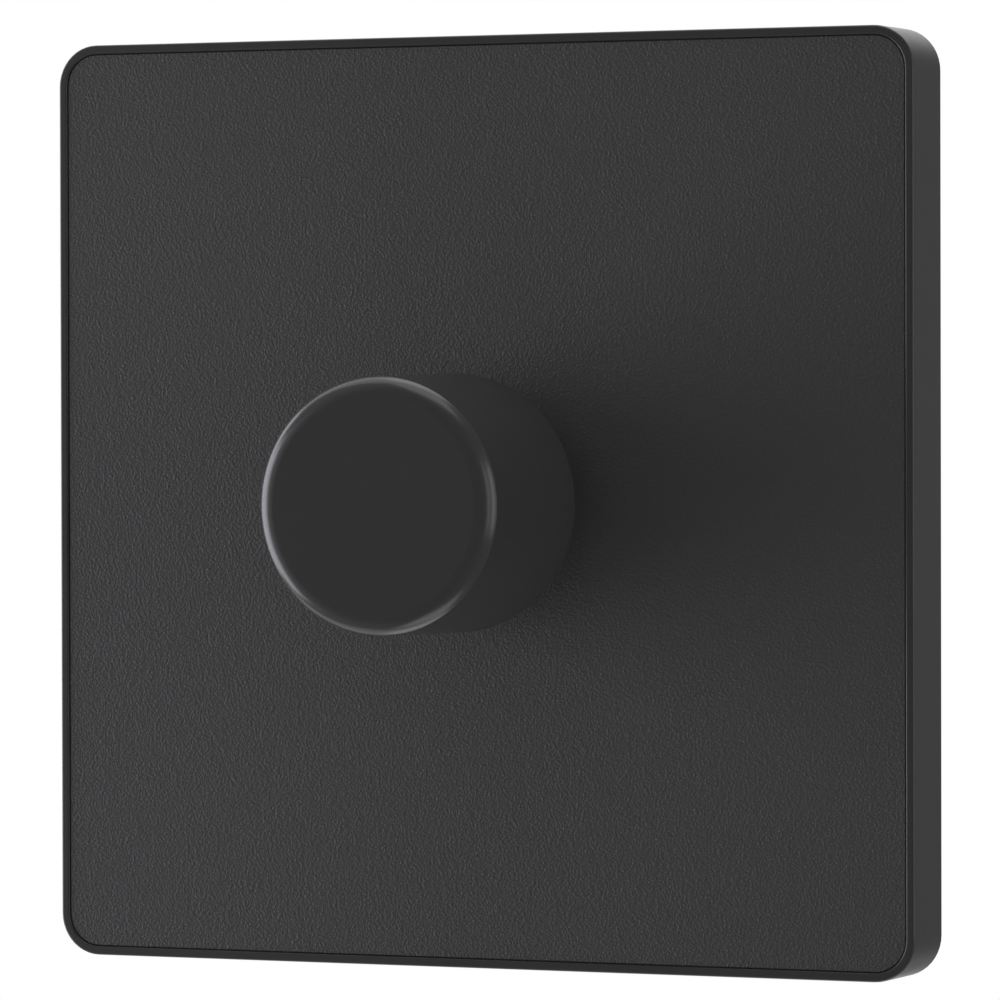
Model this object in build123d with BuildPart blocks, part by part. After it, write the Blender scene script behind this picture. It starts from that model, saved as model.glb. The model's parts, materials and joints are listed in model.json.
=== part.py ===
from build123d import *
import os

# Rotary push on/off dimmer for a one-gang wall box, as an assembly of separate pieces.
#
# Millimetres, +Z up, the room on the -Y side and the wall box on the +Y side.  The origin
# is where the knob's axis meets the wall.  A height is measured out from the wall, so
# height h lies at y = -h, and everything inside the wall box has a negative height.
# Sketches on Plane.XZ.offset(h) look into the wall, and extrude towards the room.

os.makedirs("parts", exist_ok=True)

# ---------------------------------------------------------------- driving dimensions

# front: frame, insert and knob
PLATE = 93.0
CORNER_R = 4.2
FACE = 7.7
RING = 0.9
OUTER_EDGE_R = 0.25
LIP_R = 0.2
INSERT_DROP = 0.15
INSERT_T = 1.0
INSERT_GAP = 0.02
INSERT_CHAMFER = 0.12
PANEL_T = 1.2
FRAME_WALL = 2.2
CENTRE_HOLE_R = 9.0

KNOB_BASE = 12.2
KNOB_RIM = 30.67
KNOB_FACE = 32.0
KNOB_BASE_R = 12.85
KNOB_RIM_R = 12.54
KNOB_FACE_R = 10.7
KNOB_WALL = 1.9
KNOB_CROWN = 2.2
KNOB_HUB_R = 4.6
KNOB_TRAVEL = 1.6

# fixing to the wall box
FIXING_SPACING = 60.3
FIXING_R = 1.75
FIXING_LENGTH = 25.0
FIXING_HEAD_R = 3.3
FIXING_HEAD_H = 1.9
FIXING_SLOT_W = 0.9
FIXING_SLOT_DEPTH = 0.9
FIXING_WAIST_R = 1.5

# yoke
YOKE = 84.0
YOKE_FACE = 4.4
STEEL_T = 1.2
DIMPLE_R = 6.2
DIMPLE_DEPTH = 1.6
CLIP_X = 20.0
CLIP_Z = 36.0

# module: heat sink, case and board
MODULE_X = 47.0
MODULE_Z = 52.0
MODULE_CORNER_R = 2.0
HEAT_SINK_T = 1.5
CASE_WALL = 1.6
CASE_BACK = -24.4
BOARD_FACE = -14.0
BOARD_T = 1.6
CORNER_SCREW_X = 20.0
CORNER_SCREW_Z = 22.5
BOSS_R = 3.0

# spindle and rotary control
SPINDLE_R = 3.0
SPINDLE_FLAT = 2.25
BUSH_R = 5.0
BUSH_END = 8.3
CONTROL = 18.0
CONTROL_BACK = -5.0
STOP_ANGLE = 140.0

# terminals
WIRE_R = 2.1
CAGE_BORE_R = 1.9
TERMINAL_PITCH = 11.0
WIRE_HEIGHT = -18.9
CLAMP_SCREW_R = 1.5

# small clearances
RUNNING = 0.05
SLIDING = 0.06
SHELL_GAP = 0.2
PIN_R = 0.35
PIN_HOLE_R = 0.5
PIN_TIP = -16.6
FLUSH_TIP = -15.5

# ---------------------------------------------------------------- heights worked out from them

INSERT_FACE = FACE - INSERT_DROP
PANEL_FACE = INSERT_FACE - INSERT_T
PANEL_BACK = PANEL_FACE - PANEL_T
YOKE_BACK = YOKE_FACE - STEEL_T
HEAT_SINK_FACE = YOKE_BACK
HEAT_SINK_BACK = HEAT_SINK_FACE - HEAT_SINK_T
CASE_FLOOR = CASE_BACK + CASE_WALL
BOARD_BACK = BOARD_FACE - BOARD_T

CORNER_SCREWS = [(CORNER_SCREW_X, CORNER_SCREW_Z), (-CORNER_SCREW_X, -CORNER_SCREW_Z)]
FIXINGS = [(-FIXING_SPACING / 2, 0), (FIXING_SPACING / 2, 0)]
TERMINAL_XS = [-TERMINAL_PITCH, 0.0, TERMINAL_PITCH]

# a plane whose local x is the radius and whose local y is the height, for revolved pieces
PROFILE = Plane(origin=(0, 0, 0), x_dir=(1, 0, 0), z_dir=(0, 0, -1))


def at_height(h):
    """The plane parallel to the wall at height h, facing the room."""
    return Plane.XZ.offset(h)


def across(x):
    """The plane across X at x, with local x along +Y and local y along +Z."""
    return Plane.YZ.offset(x)


# ---------------------------------------------------------------- surround frame

LEG_W = 6.0
LEG_IN = CLIP_Z - 0.7
LEG_OUT = CLIP_Z + 0.7
BARB_OUT = CLIP_Z + 1.3
LEG_TIP = 1.2
BARB_T = 0.6
BARB_FACE = YOKE_BACK - SHELL_GAP

with BuildPart() as surround_frame:
    with BuildSketch(at_height(0)):
        RectangleRounded(PLATE, PLATE, CORNER_R)
    extrude(amount=FACE)
    fillet(surround_frame.faces().sort_by(Axis.Y)[0].edges(), OUTER_EDGE_R)
    with BuildSketch(at_height(PANEL_FACE)):
        RectangleRounded(PLATE - 2 * RING, PLATE - 2 * RING, CORNER_R - RING)
    extrude(amount=FACE - PANEL_FACE, mode=Mode.SUBTRACT)
    fillet(surround_frame.faces().sort_by(Axis.Y)[0].inner_wires().edges(), LIP_R)
    with BuildSketch(at_height(0)):
        RectangleRounded(PLATE - 2 * FRAME_WALL, PLATE - 2 * FRAME_WALL, CORNER_R - 1)
    extrude(amount=PANEL_BACK, mode=Mode.SUBTRACT)
    with BuildSketch(at_height(PANEL_BACK)):
        Circle(CENTRE_HOLE_R)
    extrude(amount=PANEL_T, mode=Mode.SUBTRACT)
    # four snap legs, with their barbs turned outwards
    for x in (-CLIP_X, CLIP_X):
        for side in (-1, 1):
            with BuildSketch(across(x - LEG_W / 2)):
                with BuildLine():
                    Polyline(
                        (-PANEL_BACK, side * LEG_IN),
                        (-LEG_TIP, side * LEG_IN),
                        (-LEG_TIP, side * LEG_OUT),
                        (-BARB_FACE + BARB_T, side * BARB_OUT),
                        (-BARB_FACE, side * BARB_OUT),
                        (-BARB_FACE, side * LEG_OUT),
                        (-PANEL_BACK, side * LEG_OUT),
                        close=True,
                    )
                make_face()
            extrude(amount=LEG_W)

surround_frame.part.label = "surround_frame"
export_step(surround_frame.part, "parts/surround_frame.step")

# ---------------------------------------------------------------- textured insert

INSERT = PLATE - 2 * RING - 2 * INSERT_GAP

with BuildPart() as front_plate:
    with BuildSketch(at_height(PANEL_FACE)):
        RectangleRounded(INSERT, INSERT, CORNER_R - RING - INSERT_GAP)
        Circle(CENTRE_HOLE_R, mode=Mode.SUBTRACT)
    extrude(amount=INSERT_T)
    chamfer(front_plate.faces().sort_by(Axis.Y)[0].outer_wire().edges(), INSERT_CHAMFER)

front_plate.part.label = "front_plate"
export_step(front_plate.part, "parts/front_plate.step")

# ---------------------------------------------------------------- knob

HUB_END = 14.5
HUB_GROOVE = 16.2
HUB_RING_H = 1.0
HUB_RING_R = 4.1
HUB_RING_W = 0.8
HUB_SLIT_W = 0.8
HUB_SLIT_L = 5.5
SOCKET_END = 26.4
SOCKET_GAP = 0.03
CROWN_BACK = KNOB_FACE - KNOB_CROWN
KNOB_INNER_R = KNOB_RIM_R - KNOB_WALL
KNOB_FOOT_R = 0.25
RIB_T = 1.0
RIB_END = 21.0
RIB_BITE = 0.6

with BuildPart() as control_knob:
    with BuildSketch(PROFILE):
        with BuildLine():
            # the face rolls over to a crisp edge, and the side runs back from there with a draft
            TangentArc((KNOB_FACE_R, KNOB_FACE), (KNOB_RIM_R, KNOB_RIM), tangent=(1, 0))
            Polyline(
                (KNOB_RIM_R, KNOB_RIM),
                (KNOB_BASE_R, KNOB_BASE),
                (KNOB_BASE_R - KNOB_WALL, KNOB_BASE),
                (KNOB_INNER_R, CROWN_BACK),
                (0, CROWN_BACK),
                (0, KNOB_FACE),
                (KNOB_FACE_R, KNOB_FACE),
            )
        make_face()
    revolve(axis=Axis.Y)
    fillet(control_knob.faces().sort_by(Axis.Y)[-1].edges(), KNOB_FOOT_R)
    # ribs between the hub and the wall
    with BuildSketch(at_height(RIB_END)):
        with PolarLocations(0, 6, start_angle=30):
            with Locations(((KNOB_HUB_R + KNOB_INNER_R) / 2, 0)):
                Rectangle(KNOB_INNER_R - KNOB_HUB_R + 2 * RIB_BITE, RIB_T)
    extrude(amount=CROWN_BACK - RIB_END)
    # split hub with its groove and D-shaped socket
    with BuildSketch(at_height(HUB_END)):
        Circle(KNOB_HUB_R)
    extrude(amount=CROWN_BACK - HUB_END)
    with BuildSketch(at_height(HUB_GROOVE)):
        Circle(KNOB_HUB_R + 0.5)
        Circle(HUB_RING_R, mode=Mode.SUBTRACT)
    extrude(amount=HUB_RING_H + 0.1, mode=Mode.SUBTRACT)
    with BuildSketch(at_height(HUB_END)):
        Circle(SPINDLE_R + SOCKET_GAP)
        with Locations((0, SPINDLE_FLAT + RUNNING + SPINDLE_R)):
            Rectangle(4 * SPINDLE_R, 2 * SPINDLE_R, mode=Mode.SUBTRACT)
    extrude(amount=SOCKET_END - HUB_END, mode=Mode.SUBTRACT)
    with BuildSketch(at_height(HUB_END)):
        Rectangle(3 * KNOB_HUB_R, HUB_SLIT_W)
    extrude(amount=HUB_SLIT_L, mode=Mode.SUBTRACT)

control_knob.part.label = "control_knob"
export_step(control_knob.part, "parts/control_knob.step")

with BuildPart() as knob_hub_ring:
    with BuildSketch(at_height(HUB_GROOVE + 0.05)):
        Circle(HUB_RING_R + HUB_RING_W)
        Circle(HUB_RING_R + SOCKET_GAP, mode=Mode.SUBTRACT)
        with Locations((0, -HUB_RING_R)):
            Rectangle(2.0, 3.0, mode=Mode.SUBTRACT)
    extrude(amount=HUB_RING_H)

knob_hub_ring.part.label = "knob_hub_ring"
export_step(knob_hub_ring.part, "parts/knob_hub_ring.step")

# ---------------------------------------------------------------- yoke and its screws

SLOT_W = 4.0
SLOT_L = 6.4
DIMPLE_FLOOR = YOKE_FACE - DIMPLE_DEPTH
DIMPLE_BACK = DIMPLE_FLOOR - STEEL_T
EARTH_X = -29.5
EARTH_Z = 20.0
RIVET_R = 1.6

with BuildPart() as mounting_yoke:
    with BuildSketch(at_height(0)):
        RectangleRounded(YOKE, YOKE, 3.0)
    extrude(amount=YOKE_FACE)
    fillet(mounting_yoke.faces().sort_by(Axis.Y)[0].edges(), 0.8)
    with BuildSketch(at_height(0)):
        RectangleRounded(YOKE - 2 * STEEL_T, YOKE - 2 * STEEL_T, 1.8)
    extrude(amount=YOKE_BACK, mode=Mode.SUBTRACT)
    # a pressed dimple round each fixing slot
    with BuildSketch(at_height(DIMPLE_BACK)):
        with Locations(*FIXINGS):
            Circle(DIMPLE_R)
    extrude(amount=YOKE_BACK - DIMPLE_BACK)
    with BuildSketch(at_height(DIMPLE_FLOOR)):
        with Locations(*FIXINGS):
            Circle(DIMPLE_R - STEEL_T)
    extrude(amount=DIMPLE_DEPTH, mode=Mode.SUBTRACT)
    with BuildSketch(at_height(DIMPLE_BACK)):
        with Locations(*FIXINGS):
            SlotOverall(SLOT_L, SLOT_W, rotation=90)
    extrude(amount=STEEL_T, mode=Mode.SUBTRACT)
    # centre hole, rivet hole and the slots for the snap legs
    with BuildSketch(at_height(YOKE_BACK)):
        Circle(BUSH_R + 0.15)
        with Locations((EARTH_X, EARTH_Z)):
            Circle(RIVET_R + RUNNING)
        with GridLocations(2 * CLIP_X, 2 * CLIP_Z - 0.7, 2, 2):
            Rectangle(LEG_W + 1.0, 2.5)
    extrude(amount=STEEL_T, mode=Mode.SUBTRACT)

mounting_yoke.part.label = "mounting_yoke"
export_step(mounting_yoke.part, "parts/mounting_yoke.step")

with BuildPart() as fixing_screws:
    # shank below the head, waisted where it crosses the yoke's slot
    with BuildSketch(at_height(DIMPLE_FLOOR - FIXING_LENGTH)):
        with Locations(*FIXINGS):
            Circle(FIXING_R)
    extrude(amount=FIXING_LENGTH - STEEL_T - SHELL_GAP)
    chamfer(fixing_screws.faces().sort_by(Axis.Y)[-2:].edges(), 0.5)
    with BuildSketch(at_height(DIMPLE_BACK - SHELL_GAP)):
        with Locations(*FIXINGS):
            Circle(FIXING_WAIST_R)
    extrude(amount=STEEL_T + SHELL_GAP)
    with BuildSketch(at_height(DIMPLE_FLOOR)):
        with Locations(*FIXINGS):
            Circle(FIXING_HEAD_R)
    extrude(amount=FIXING_HEAD_H)
    fillet(fixing_screws.faces().sort_by(Axis.Y)[:2].edges(), 0.7)
    with BuildSketch(at_height(DIMPLE_FLOOR + FIXING_HEAD_H)):
        with Locations(*FIXINGS):
            Rectangle(3 * FIXING_HEAD_R, FIXING_SLOT_W)
    extrude(amount=-FIXING_SLOT_DEPTH, mode=Mode.SUBTRACT)

fixing_screws.part.label = "fixing_screws"
export_step(fixing_screws.part, "parts/fixing_screws.step")

# ---------------------------------------------------------------- nut and washer on the bush

WASHER_T = 0.6
WASHER_R = 8.0
NUT_ACROSS_FLATS = 14.0
NUT_H = 2.3
NUT_SEAT = YOKE_FACE + WASHER_T
NUT_FACE = NUT_SEAT + NUT_H
NUT_FACE_R = NUT_ACROSS_FLATS / 2 + 0.1
NUT_CORNER_R = NUT_ACROSS_FLATS / 2 + 1.3
NUT_BEVEL_H = 0.7
THREAD_GAP = 0.06

with BuildPart() as lock_washer:
    with BuildSketch(at_height(YOKE_FACE)):
        Circle(WASHER_R - 0.7)
        with PolarLocations(WASHER_R - 0.9, 16):
            Rectangle(1.8, 1.5, rotation=12)
        Circle(BUSH_R + 0.1, mode=Mode.SUBTRACT)
    extrude(amount=WASHER_T)

lock_washer.part.label = "lock_washer"
export_step(lock_washer.part, "parts/lock_washer.step")

with BuildPart() as bush_nut:
    with BuildSketch(at_height(NUT_SEAT)):
        RegularPolygon(NUT_ACROSS_FLATS / 2, 6, major_radius=False)
    extrude(amount=NUT_H)
    # the corners of both faces are turned off at 30 degrees
    with BuildSketch(PROFILE):
        with BuildLine():
            Polyline(
                (0, NUT_SEAT),
                (NUT_FACE_R, NUT_SEAT),
                (NUT_CORNER_R, NUT_SEAT + NUT_BEVEL_H),
                (NUT_CORNER_R, NUT_FACE - NUT_BEVEL_H),
                (NUT_FACE_R, NUT_FACE),
                (0, NUT_FACE),
                close=True,
            )
        make_face()
    revolve(axis=Axis.Y, mode=Mode.INTERSECT)
    with BuildSketch(at_height(NUT_SEAT)):
        Circle(BUSH_R + THREAD_GAP)
    extrude(amount=NUT_H, mode=Mode.SUBTRACT)

bush_nut.part.label = "bush_nut"
export_step(bush_nut.part, "parts/bush_nut.step")

# ---------------------------------------------------------------- heat sink and case

TRIAC_X = -16.0
TRIAC_HOLE_Z = 19.7
TRIAC_SCREW_R = 1.5
CASE_SCREW_R = 1.25
CASE_SCREW_HEAD_R = 2.3
CASE_SCREW_HEAD_H = 1.6
CASE_SCREW_RECESS = 0.9
CASE_SCREW_CROSS = (2.6, 0.6)

with BuildPart() as heat_sink_plate:
    with BuildSketch(at_height(HEAT_SINK_BACK)):
        RectangleRounded(MODULE_X, MODULE_Z, MODULE_CORNER_R)
        Circle(BUSH_R + 0.1, mode=Mode.SUBTRACT)
        with Locations(*CORNER_SCREWS):
            Circle(CASE_SCREW_R + RUNNING, mode=Mode.SUBTRACT)
        with Locations((TRIAC_X, TRIAC_HOLE_Z)):
            Circle(TRIAC_SCREW_R + RUNNING, mode=Mode.SUBTRACT)
    extrude(amount=HEAT_SINK_T)

heat_sink_plate.part.label = "heat_sink_plate"
export_step(heat_sink_plate.part, "parts/heat_sink_plate.step")

BLOCK_X = 32.6
BLOCK_TOP = -13.2
BLOCK_FOOT = -MODULE_Z / 2
VENT_XS = [-16.0, -8.0, 0.0, 8.0, 16.0]
POSTS = [(-19.0, 10.0), (19.0, -6.0), (0.0, 21.0)]
POST_R = 1.6
CASE_WELL_R = 2.5
CASE_WELL_DEPTH = 2.0
CASE_SCREW_SEAT = CASE_BACK + CASE_WELL_DEPTH

with BuildPart() as module_case:
    with BuildSketch(at_height(CASE_BACK)):
        RectangleRounded(MODULE_X, MODULE_Z, MODULE_CORNER_R)
    extrude(amount=HEAT_SINK_BACK - CASE_BACK)
    fillet(module_case.faces().sort_by(Axis.Y)[-1].edges(), 0.8)
    with BuildSketch(at_height(CASE_FLOOR)):
        RectangleRounded(MODULE_X - 2 * CASE_WALL, MODULE_Z - 2 * CASE_WALL, 1.0)
    extrude(amount=HEAT_SINK_BACK - CASE_FLOOR, mode=Mode.SUBTRACT)
    # corner bosses for the long screws, and posts that carry the board
    with BuildSketch(at_height(CASE_FLOOR)):
        with Locations(*CORNER_SCREWS):
            Circle(BOSS_R)
    extrude(amount=HEAT_SINK_BACK - CASE_FLOOR)
    with BuildSketch(at_height(CASE_FLOOR)):
        with Locations(*POSTS):
            Circle(POST_R)
    extrude(amount=BOARD_BACK - CASE_FLOOR)
    with BuildSketch(at_height(CASE_BACK)):
        with Locations(*CORNER_SCREWS):
            Circle(CASE_SCREW_R + 0.1)
    extrude(amount=HEAT_SINK_BACK - CASE_BACK, mode=Mode.SUBTRACT)
    with BuildSketch(at_height(CASE_BACK)):
        with Locations(*CORNER_SCREWS):
            Circle(CASE_WELL_R)
    extrude(amount=CASE_WELL_DEPTH, mode=Mode.SUBTRACT)
    # window for the terminal block, in the back wall and the lower wall
    with BuildSketch(at_height(CASE_BACK)):
        with Locations((0, (BLOCK_TOP + SHELL_GAP + BLOCK_FOOT - 1) / 2)):
            Rectangle(BLOCK_X + 2 * SHELL_GAP, BLOCK_TOP + SHELL_GAP - BLOCK_FOOT + 1)
    extrude(amount=BOARD_BACK + SHELL_GAP - CASE_BACK, mode=Mode.SUBTRACT)
    # vents in the upper wall
    with BuildSketch(Plane.XY.offset(MODULE_Z / 2 - 2 * CASE_WALL)):
        with Locations(*[(x, 8.0) for x in VENT_XS]):
            SlotOverall(10.0, 1.6, rotation=90)
    extrude(amount=3 * CASE_WALL, mode=Mode.SUBTRACT)

module_case.part.label = "module_case"
export_step(module_case.part, "parts/module_case.step")

with BuildPart() as case_screws:
    with BuildSketch(at_height(CASE_SCREW_SEAT)):
        with Locations(*CORNER_SCREWS):
            Circle(CASE_SCREW_R)
    extrude(amount=HEAT_SINK_FACE - SHELL_GAP - CASE_SCREW_SEAT)
    with BuildSketch(at_height(CASE_SCREW_SEAT)):
        with Locations(*CORNER_SCREWS):
            Circle(CASE_SCREW_HEAD_R)
    extrude(amount=-CASE_SCREW_HEAD_H)
    fillet(case_screws.faces().sort_by(Axis.Y)[-2:].edges(), 0.5)
    with BuildSketch(at_height(CASE_SCREW_SEAT - CASE_SCREW_HEAD_H)):
        with Locations(*CORNER_SCREWS):
            Rectangle(*CASE_SCREW_CROSS)
            Rectangle(*CASE_SCREW_CROSS, rotation=90)
    extrude(amount=CASE_SCREW_RECESS, mode=Mode.SUBTRACT)

case_screws.part.label = "case_screws"
export_step(case_screws.part, "parts/case_screws.step")

# ---------------------------------------------------------------- rotary control: bush and housing

FLANGE_T = 0.8
CONTROL_FACE = HEAT_SINK_BACK - FLANGE_T
CAVITY_R = 7.8
CAVITY_BACK = CONTROL_BACK + 1.0
LUG_HALF_ANGLE = 10.0
STOP_SPARE = 2.0
STOP_HALF_ANGLE = 180.0 - STOP_ANGLE - LUG_HALF_ANGLE - STOP_SPARE
TRACK_T = 0.8
TRACK_FACE = CAVITY_BACK + TRACK_T
STOP_BACK = TRACK_FACE + 1.2
STOP_IN_R = CAVITY_R - 0.9
STOP_OUT_R = CAVITY_R + 0.3
TONGUE_Z = -10.4
TONGUE_W = 13.0
MOUTH_TOP = -4.0
TAG_XS = [-5.0, 0.0, 5.0]
TAG_Z = -9.7
TAG_W = 1.2
TAG_T = 0.4
THREAD_PITCH = 0.75
THREAD_DEPTH = 0.35
THREAD_COUNT = 7

with BuildPart() as control_bush:
    with BuildSketch(at_height(CONTROL_FACE)):
        RectangleRounded(CONTROL, CONTROL, 1.5)
    extrude(amount=FLANGE_T)
    with BuildSketch(at_height(HEAT_SINK_BACK)):
        Circle(BUSH_R)
    extrude(amount=BUSH_END - HEAT_SINK_BACK)
    chamfer(control_bush.faces().sort_by(Axis.Y)[0].edges(), 0.4)
    with BuildSketch(at_height(CONTROL_FACE)):
        Circle(SPINDLE_R + RUNNING)
    extrude(amount=BUSH_END - CONTROL_FACE, mode=Mode.SUBTRACT)
    # thread grooves on the part that the nut runs on
    with BuildSketch(PROFILE):
        with BuildLine():
            for turn in range(THREAD_COUNT):
                root_h = BUSH_END - 0.75 - turn * THREAD_PITCH
                Polyline(
                    (BUSH_R + 0.1, root_h - THREAD_PITCH * 0.45),
                    (BUSH_R - THREAD_DEPTH, root_h),
                    (BUSH_R + 0.1, root_h + THREAD_PITCH * 0.45),
                    close=True,
                )
        make_face()
    revolve(axis=Axis.Y, mode=Mode.SUBTRACT)

control_bush.part.label = "control_bush"
export_step(control_bush.part, "parts/control_bush.step")

with BuildPart() as control_housing:
    with BuildSketch(at_height(CONTROL_BACK)):
        RectangleRounded(CONTROL, CONTROL, 1.5)
    extrude(amount=CONTROL_FACE - CONTROL_BACK)
    with BuildSketch(at_height(CAVITY_BACK)):
        Circle(CAVITY_R)
    extrude(amount=CONTROL_FACE - CAVITY_BACK, mode=Mode.SUBTRACT)
    with BuildSketch(at_height(CONTROL_BACK)):
        Circle(SPINDLE_R + 0.4)
    extrude(amount=CAVITY_BACK - CONTROL_BACK, mode=Mode.SUBTRACT)
    # end stop at the foot of the cavity, in front of the track
    with BuildSketch(at_height(STOP_BACK)):
        with BuildLine():
            for r in (STOP_IN_R, STOP_OUT_R):
                CenterArc((0, 0), r, -90 - STOP_HALF_ANGLE, 2 * STOP_HALF_ANGLE)
            for angle in (-90 - STOP_HALF_ANGLE, -90 + STOP_HALF_ANGLE):
                Line(
                    Vector(STOP_IN_R, 0).rotate(Axis.Z, angle),
                    Vector(STOP_OUT_R, 0).rotate(Axis.Z, angle),
                )
        make_face()
    extrude(amount=CONTROL_FACE - STOP_BACK)
    # mouth for the track's tongue
    with BuildSketch(at_height(CAVITY_BACK)):
        with Locations((0, (TONGUE_Z + MOUTH_TOP) / 2)):
            Rectangle(TONGUE_W + 0.2, MOUTH_TOP - TONGUE_Z)
    extrude(amount=TRACK_FACE - CAVITY_BACK, mode=Mode.SUBTRACT)

control_housing.part.label = "control_housing"
export_step(control_housing.part, "parts/control_housing.step")

with BuildPart() as resistance_track:
    with BuildSketch(at_height(CAVITY_BACK)):
        Circle(CAVITY_R - 0.1)
        with Locations((0, (TONGUE_Z + MOUTH_TOP) / 2 - 0.5)):
            Rectangle(TONGUE_W, MOUTH_TOP - 1.0 - TONGUE_Z)
        Circle(SPINDLE_R + 0.9, mode=Mode.SUBTRACT)
        with Locations(*[(x, TAG_Z) for x in TAG_XS]):
            Rectangle(TAG_W + 0.2, TAG_T + 0.2, mode=Mode.SUBTRACT)
    extrude(amount=TRACK_FACE - CAVITY_BACK)

resistance_track.part.label = "resistance_track"
export_step(resistance_track.part, "parts/resistance_track.step")

with BuildPart() as track_tags:
    with BuildSketch(at_height(PIN_TIP)):
        with Locations(*[(x, TAG_Z) for x in TAG_XS]):
            Rectangle(TAG_W, TAG_T)
    extrude(amount=TRACK_FACE + TAG_T - PIN_TIP)
    # the tags widen into heads that are pressed down on the tongue
    with BuildSketch(at_height(TRACK_FACE)):
        with Locations(*[(x, TAG_Z) for x in TAG_XS]):
            Rectangle(2.2, 0.9)
    extrude(amount=TAG_T)

track_tags.part.label = "track_tags"
export_step(track_tags.part, "parts/track_tags.step")

# ---------------------------------------------------------------- rotary control: rotor

ROTOR_R = 6.6
ROTOR_FACE = 0.7
ROTOR_BACK = -1.5
LUG_R = 7.6
WIPER_T = 0.25
WIPER_IN_R = 4.0
WIPER_OUT_R = 5.4
WIPER_TIP = TRACK_FACE + 0.08
LUG_W = 2.4

with BuildPart() as wiper_carrier:
    with BuildSketch(at_height(ROTOR_BACK)):
        Circle(ROTOR_R)
        with Locations((0, (ROTOR_R + LUG_R) / 2 - 0.5)):
            Rectangle(LUG_W, LUG_R - ROTOR_R + 1.0)
        Circle(SPINDLE_R + SLIDING, mode=Mode.SUBTRACT)
    extrude(amount=ROTOR_FACE - ROTOR_BACK)
    # the two keys that bear on the spindle's flat
    with BuildSketch(at_height(ROTOR_BACK)):
        Circle(SPINDLE_R + SLIDING + 0.2)
        with Locations((0, SPINDLE_FLAT + SLIDING - 2 * SPINDLE_R)):
            Rectangle(4 * SPINDLE_R, 4 * SPINDLE_R, mode=Mode.SUBTRACT)
    extrude(amount=ROTOR_FACE - ROTOR_BACK)

wiper_carrier.part.label = "wiper_carrier"
export_step(wiper_carrier.part, "parts/wiper_carrier.step")

with BuildPart() as wiper_contact:
    with BuildSketch(at_height(ROTOR_BACK - WIPER_T)):
        Circle(WIPER_OUT_R)
        Circle(WIPER_IN_R, mode=Mode.SUBTRACT)
    extrude(amount=WIPER_T)
    # two fingers that reach down to the track on the far side from the lug
    for x in (-1.6, 1.6):
        with BuildSketch(across(x - 0.5)):
            with BuildLine():
                Polyline(
                    (-ROTOR_BACK, -4.6),
                    (-WIPER_TIP - 0.15, -5.6),
                    (-WIPER_TIP, -5.9),
                    (-WIPER_TIP - 0.15, -6.2),
                    (-WIPER_TIP - 0.45, -6.0),
                    (-WIPER_TIP - 0.45, -5.7),
                    (-ROTOR_BACK, -5.1),
                    close=True,
                )
            make_face()
        extrude(amount=1.0)

wiper_contact.part.label = "wiper_contact"
export_step(wiper_contact.part, "parts/wiper_contact.step")

# ---------------------------------------------------------------- spindle and clip

SPINDLE_END = 26.0
KNOB_FLAT_END = 14.0
CONTROL_FLAT_END = ROTOR_FACE + KNOB_TRAVEL + 0.1
SPINDLE_TAIL = -6.3
SPINDLE_TIP = -7.0
CLIP_FACE = CONTROL_BACK - 0.1
CLIP_T = 0.7
CLIP_ROOT_R = 2.2
CLIP_OUT_R = 4.5
CLIP_MOUTH = 3.6
TIP_R = 1.5

with BuildPart() as spindle:
    with BuildSketch(at_height(SPINDLE_TAIL)):
        Circle(SPINDLE_R)
    extrude(amount=SPINDLE_END - SPINDLE_TAIL)
    chamfer(spindle.faces().sort_by(Axis.Y)[0].edges(), 0.5)
    with BuildSketch(at_height(SPINDLE_TIP)):
        Circle(TIP_R)
    extrude(amount=SPINDLE_TAIL - SPINDLE_TIP)
    # one flat for the knob and one for the rotor
    for low, high in ((KNOB_FLAT_END, SPINDLE_END), (SPINDLE_TAIL, CONTROL_FLAT_END)):
        with BuildSketch(at_height(low)):
            with Locations((0, SPINDLE_FLAT + SPINDLE_R)):
                Rectangle(4 * SPINDLE_R, 2 * SPINDLE_R)
        extrude(amount=high - low, mode=Mode.SUBTRACT)
    # groove for the clip
    with BuildSketch(at_height(CLIP_FACE - CLIP_T - 0.05)):
        Circle(2 * SPINDLE_R)
        Circle(CLIP_ROOT_R, mode=Mode.SUBTRACT)
    extrude(amount=CLIP_T + 0.1, mode=Mode.SUBTRACT)

spindle.part.label = "spindle"
export_step(spindle.part, "parts/spindle.step")

with BuildPart() as spindle_clip:
    with BuildSketch(at_height(CLIP_FACE - CLIP_T)):
        Circle(CLIP_OUT_R)
        Circle(CLIP_ROOT_R + 0.9, mode=Mode.SUBTRACT)
        with PolarLocations(CLIP_ROOT_R + 0.85, 3, start_angle=90):
            Rectangle(1.6, 1.5)
        Circle(CLIP_ROOT_R + SOCKET_GAP, mode=Mode.SUBTRACT)
        with Locations((0, -CLIP_OUT_R)):
            Rectangle(CLIP_MOUTH, CLIP_OUT_R, mode=Mode.SUBTRACT)
    extrude(amount=CLIP_T)

spindle_clip.part.label = "spindle_clip"
export_step(spindle_clip.part, "parts/spindle_clip.step")

# ---------------------------------------------------------------- push switch

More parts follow.
